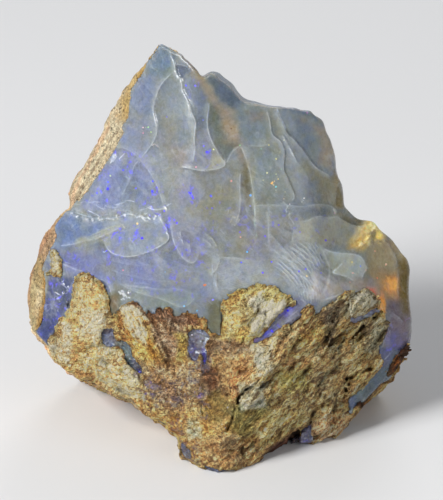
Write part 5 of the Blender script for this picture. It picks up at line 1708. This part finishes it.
def rind_material():
    M = Mat("rind_tan")
    tint = M.attr("tint").outputs["Color"]
    cav, crack, deep = M.split(M.attr("zone").outputs["Vector"])
    v1 = M.cells(2100)
    v2 = M.cells(1000)
    r, g, b = M.split(v1.outputs["Color"])
    r2, g2, b2 = M.split(v2.outputs["Color"])
    n1 = M.noise(700, 5, 0.65)
    n2 = M.noise(200, 3, 0.6)
    col = M.scale(tint, M.rng(r, 0, 1, 0.84, 1.14))
    col = M.scale(col, M.rng(n1, 0.25, 0.75, 0.78, 1.18))
    col = M.mix(M.math("MULTIPLY", M.rng(g, 0.20, 0.14, 0, 1), 0.25), col, tuple(lin(190, 140, 84)))
    pit = M.math("MULTIPLY", M.rng(M.noise(2100, 3, 0.62, warp=0.6), 0.565, 0.62, 0, 1, True), M.rng(M.noise(420, 2, 0.5), 0.42, 0.54, 0.15, 1, True))
    lay = M.noise(900, 4, 0.65, vec=M.stretch(1.0, 1.0, 0.35))
    col = M.scale(col, M.rng(lay, 0.3, 0.7, 0.84, 1.14))
    col = M.mix(M.math("MULTIPLY", pit, 0.8), col, tuple(lin(66, 52, 40)))
    col = M.mix(M.math("MULTIPLY", M.rng(n2, 0.5, 0.68, 0, 1), 0.12), col, tuple(lin(196, 148, 96)))

    def shifted(d):
        n = M.t.nodes.new("ShaderNodeVectorMath"); n.operation = "ADD"
        M.put(n, 0, M.o); n.inputs[1].default_value = d
        return M.noise(1700, 4, 0.7, vec=n.outputs[0], warp=0.3)
    emb = M.math("SUBTRACT", shifted((0.00006, 0.00003, -0.00007)), shifted((-0.00006, -0.00003, 0.00007)))
    col = M.scale(col, M.rng(emb, -0.11, 0.11, 0.66, 1.36))
    col = M.mix(M.math("MULTIPLY", crack, 0.8), col, tuple(lin(78, 52, 34)))
    col = M.mix(M.rng(cav, 0.10, 0.85, 0, 0.62), col, tuple(lin(96, 72, 48)))
    stain = M.math("MULTIPLY", deep, M.rng(M.noise(130, 5, 0.66, warp=0.8), 0.52, 0.66, 0, 1, True))
    col = M.mix(M.math("MULTIPLY", stain, 0.42), col, tuple(lin(146, 118, 82)))
    dark = M.math("MULTIPLY", deep, M.rng(M.noise(300, 5, 0.7, warp=0.6), 0.60, 0.70, 0, 1, True))
    col = M.mix(M.math("MULTIPLY", dark, 0.45), col, tuple(lin(86, 66, 50)))
    h = M.math("SUBTRACT", M.math("MULTIPLY", n1, 1.0), M.math("MULTIPLY", v1.outputs["Distance"], 0.4))
    h = M.math("SUBTRACT", h, M.math("MULTIPLY", pit, 0.8))
    h = M.math("ADD", h, M.math("MULTIPLY", lay, 0.8))
    M.set(Base_Color=col, Roughness=M.rng(n1, 0.3, 0.7, 0.75, 0.95), Normal=M.bump(h, 0.00024, 0.85))
    M.b.inputs["Specular IOR Level"].default_value = 0.25
    return M.m


MATERIALS = {"opal": opal_material(), "rock": rock_material(), "rind": rind_material()}
for which, (ob, v) in PIECES.items():
    dress(which, ob, v)
    ob.data.materials.append(MATERIALS[which])


def principled(name):
    m = bpy.data.materials.new(name)
    m.use_nodes = True
    return m, m.node_tree, m.node_tree.nodes["Principled BSDF"]


# ------------------------------------------------------------------ floor, light, camera
def plane_mesh(name, size, z):
    me = bpy.data.meshes.new(name)
    s = size / 2
    me.from_pydata([(-s, -s, z), (s, -s, z), (s, s, z), (-s, s, z)], [], [(0, 1, 2, 3)])
    ob = bpy.data.objects.new(name, me)
    bpy.context.scene.collection.objects.link(ob)
    return ob


floor = plane_mesh("floor", 6.0, 0.0)
m, nt, b = principled("floor_pale")
b.inputs["Base Color"].default_value = (0.72, 0.72, 0.72, 1)
b.inputs["Roughness"].default_value = 0.85
floor.data.materials.append(m)

world = bpy.data.worlds.new("studio")
bpy.context.scene.world = world
world.use_nodes = True
world.node_tree.nodes["Background"].inputs[0].default_value = (0.9, 0.93, 1.0, 1)
world.node_tree.nodes["Background"].inputs[1].default_value = 0.23


def aim(ob, target):
    from mathutils import Vector
    d = Vector(target) - ob.location
    ob.rotation_euler = d.to_track_quat("-Z", "Y").to_euler()


def area(name, loc, size, power, color=(1, 1, 1)):
    la = bpy.data.lights.new(name, "AREA")
    la.size = size
    la.energy = power
    la.color = color
    ob = bpy.data.objects.new(name, la)
    ob.location = loc
    bpy.context.scene.collection.objects.link(ob)
    aim(ob, (0, 0, 0.035))
    return ob


area("key", (-0.50, -0.42, 0.58), 0.26, 8.3)
area("fill", (0.50, -0.45, 0.35), 0.5, 1.1)
area("back", (0.20, 0.62, 0.42), 0.45, 1.6)

cam = bpy.data.cameras.new("camera")
cam.sensor_fit = "VERTICAL"
cam.sensor_height = 24.0
cam.lens = 24.0 * (REACH / UNIT) / 500.0
cam.clip_start = 0.01
camo = bpy.data.objects.new("camera", cam)
bpy.context.scene.collection.objects.link(camo)
cv, cw = AXIS_V, -REACH
camo.location = (-ORIGIN[0] / 1000, (cv * SIN + cw * COS - ORIGIN[1]) / 1000, (cv * COS - cw * SIN) / 1000)
camo.rotation_euler = (math.radians(90) - LEAN, 0, 0)
bpy.context.scene.camera = camo

bpy.context.scene.view_settings.view_transform = "Standard"

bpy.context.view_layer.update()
print("total %.1fs" % (time.time() - T0))
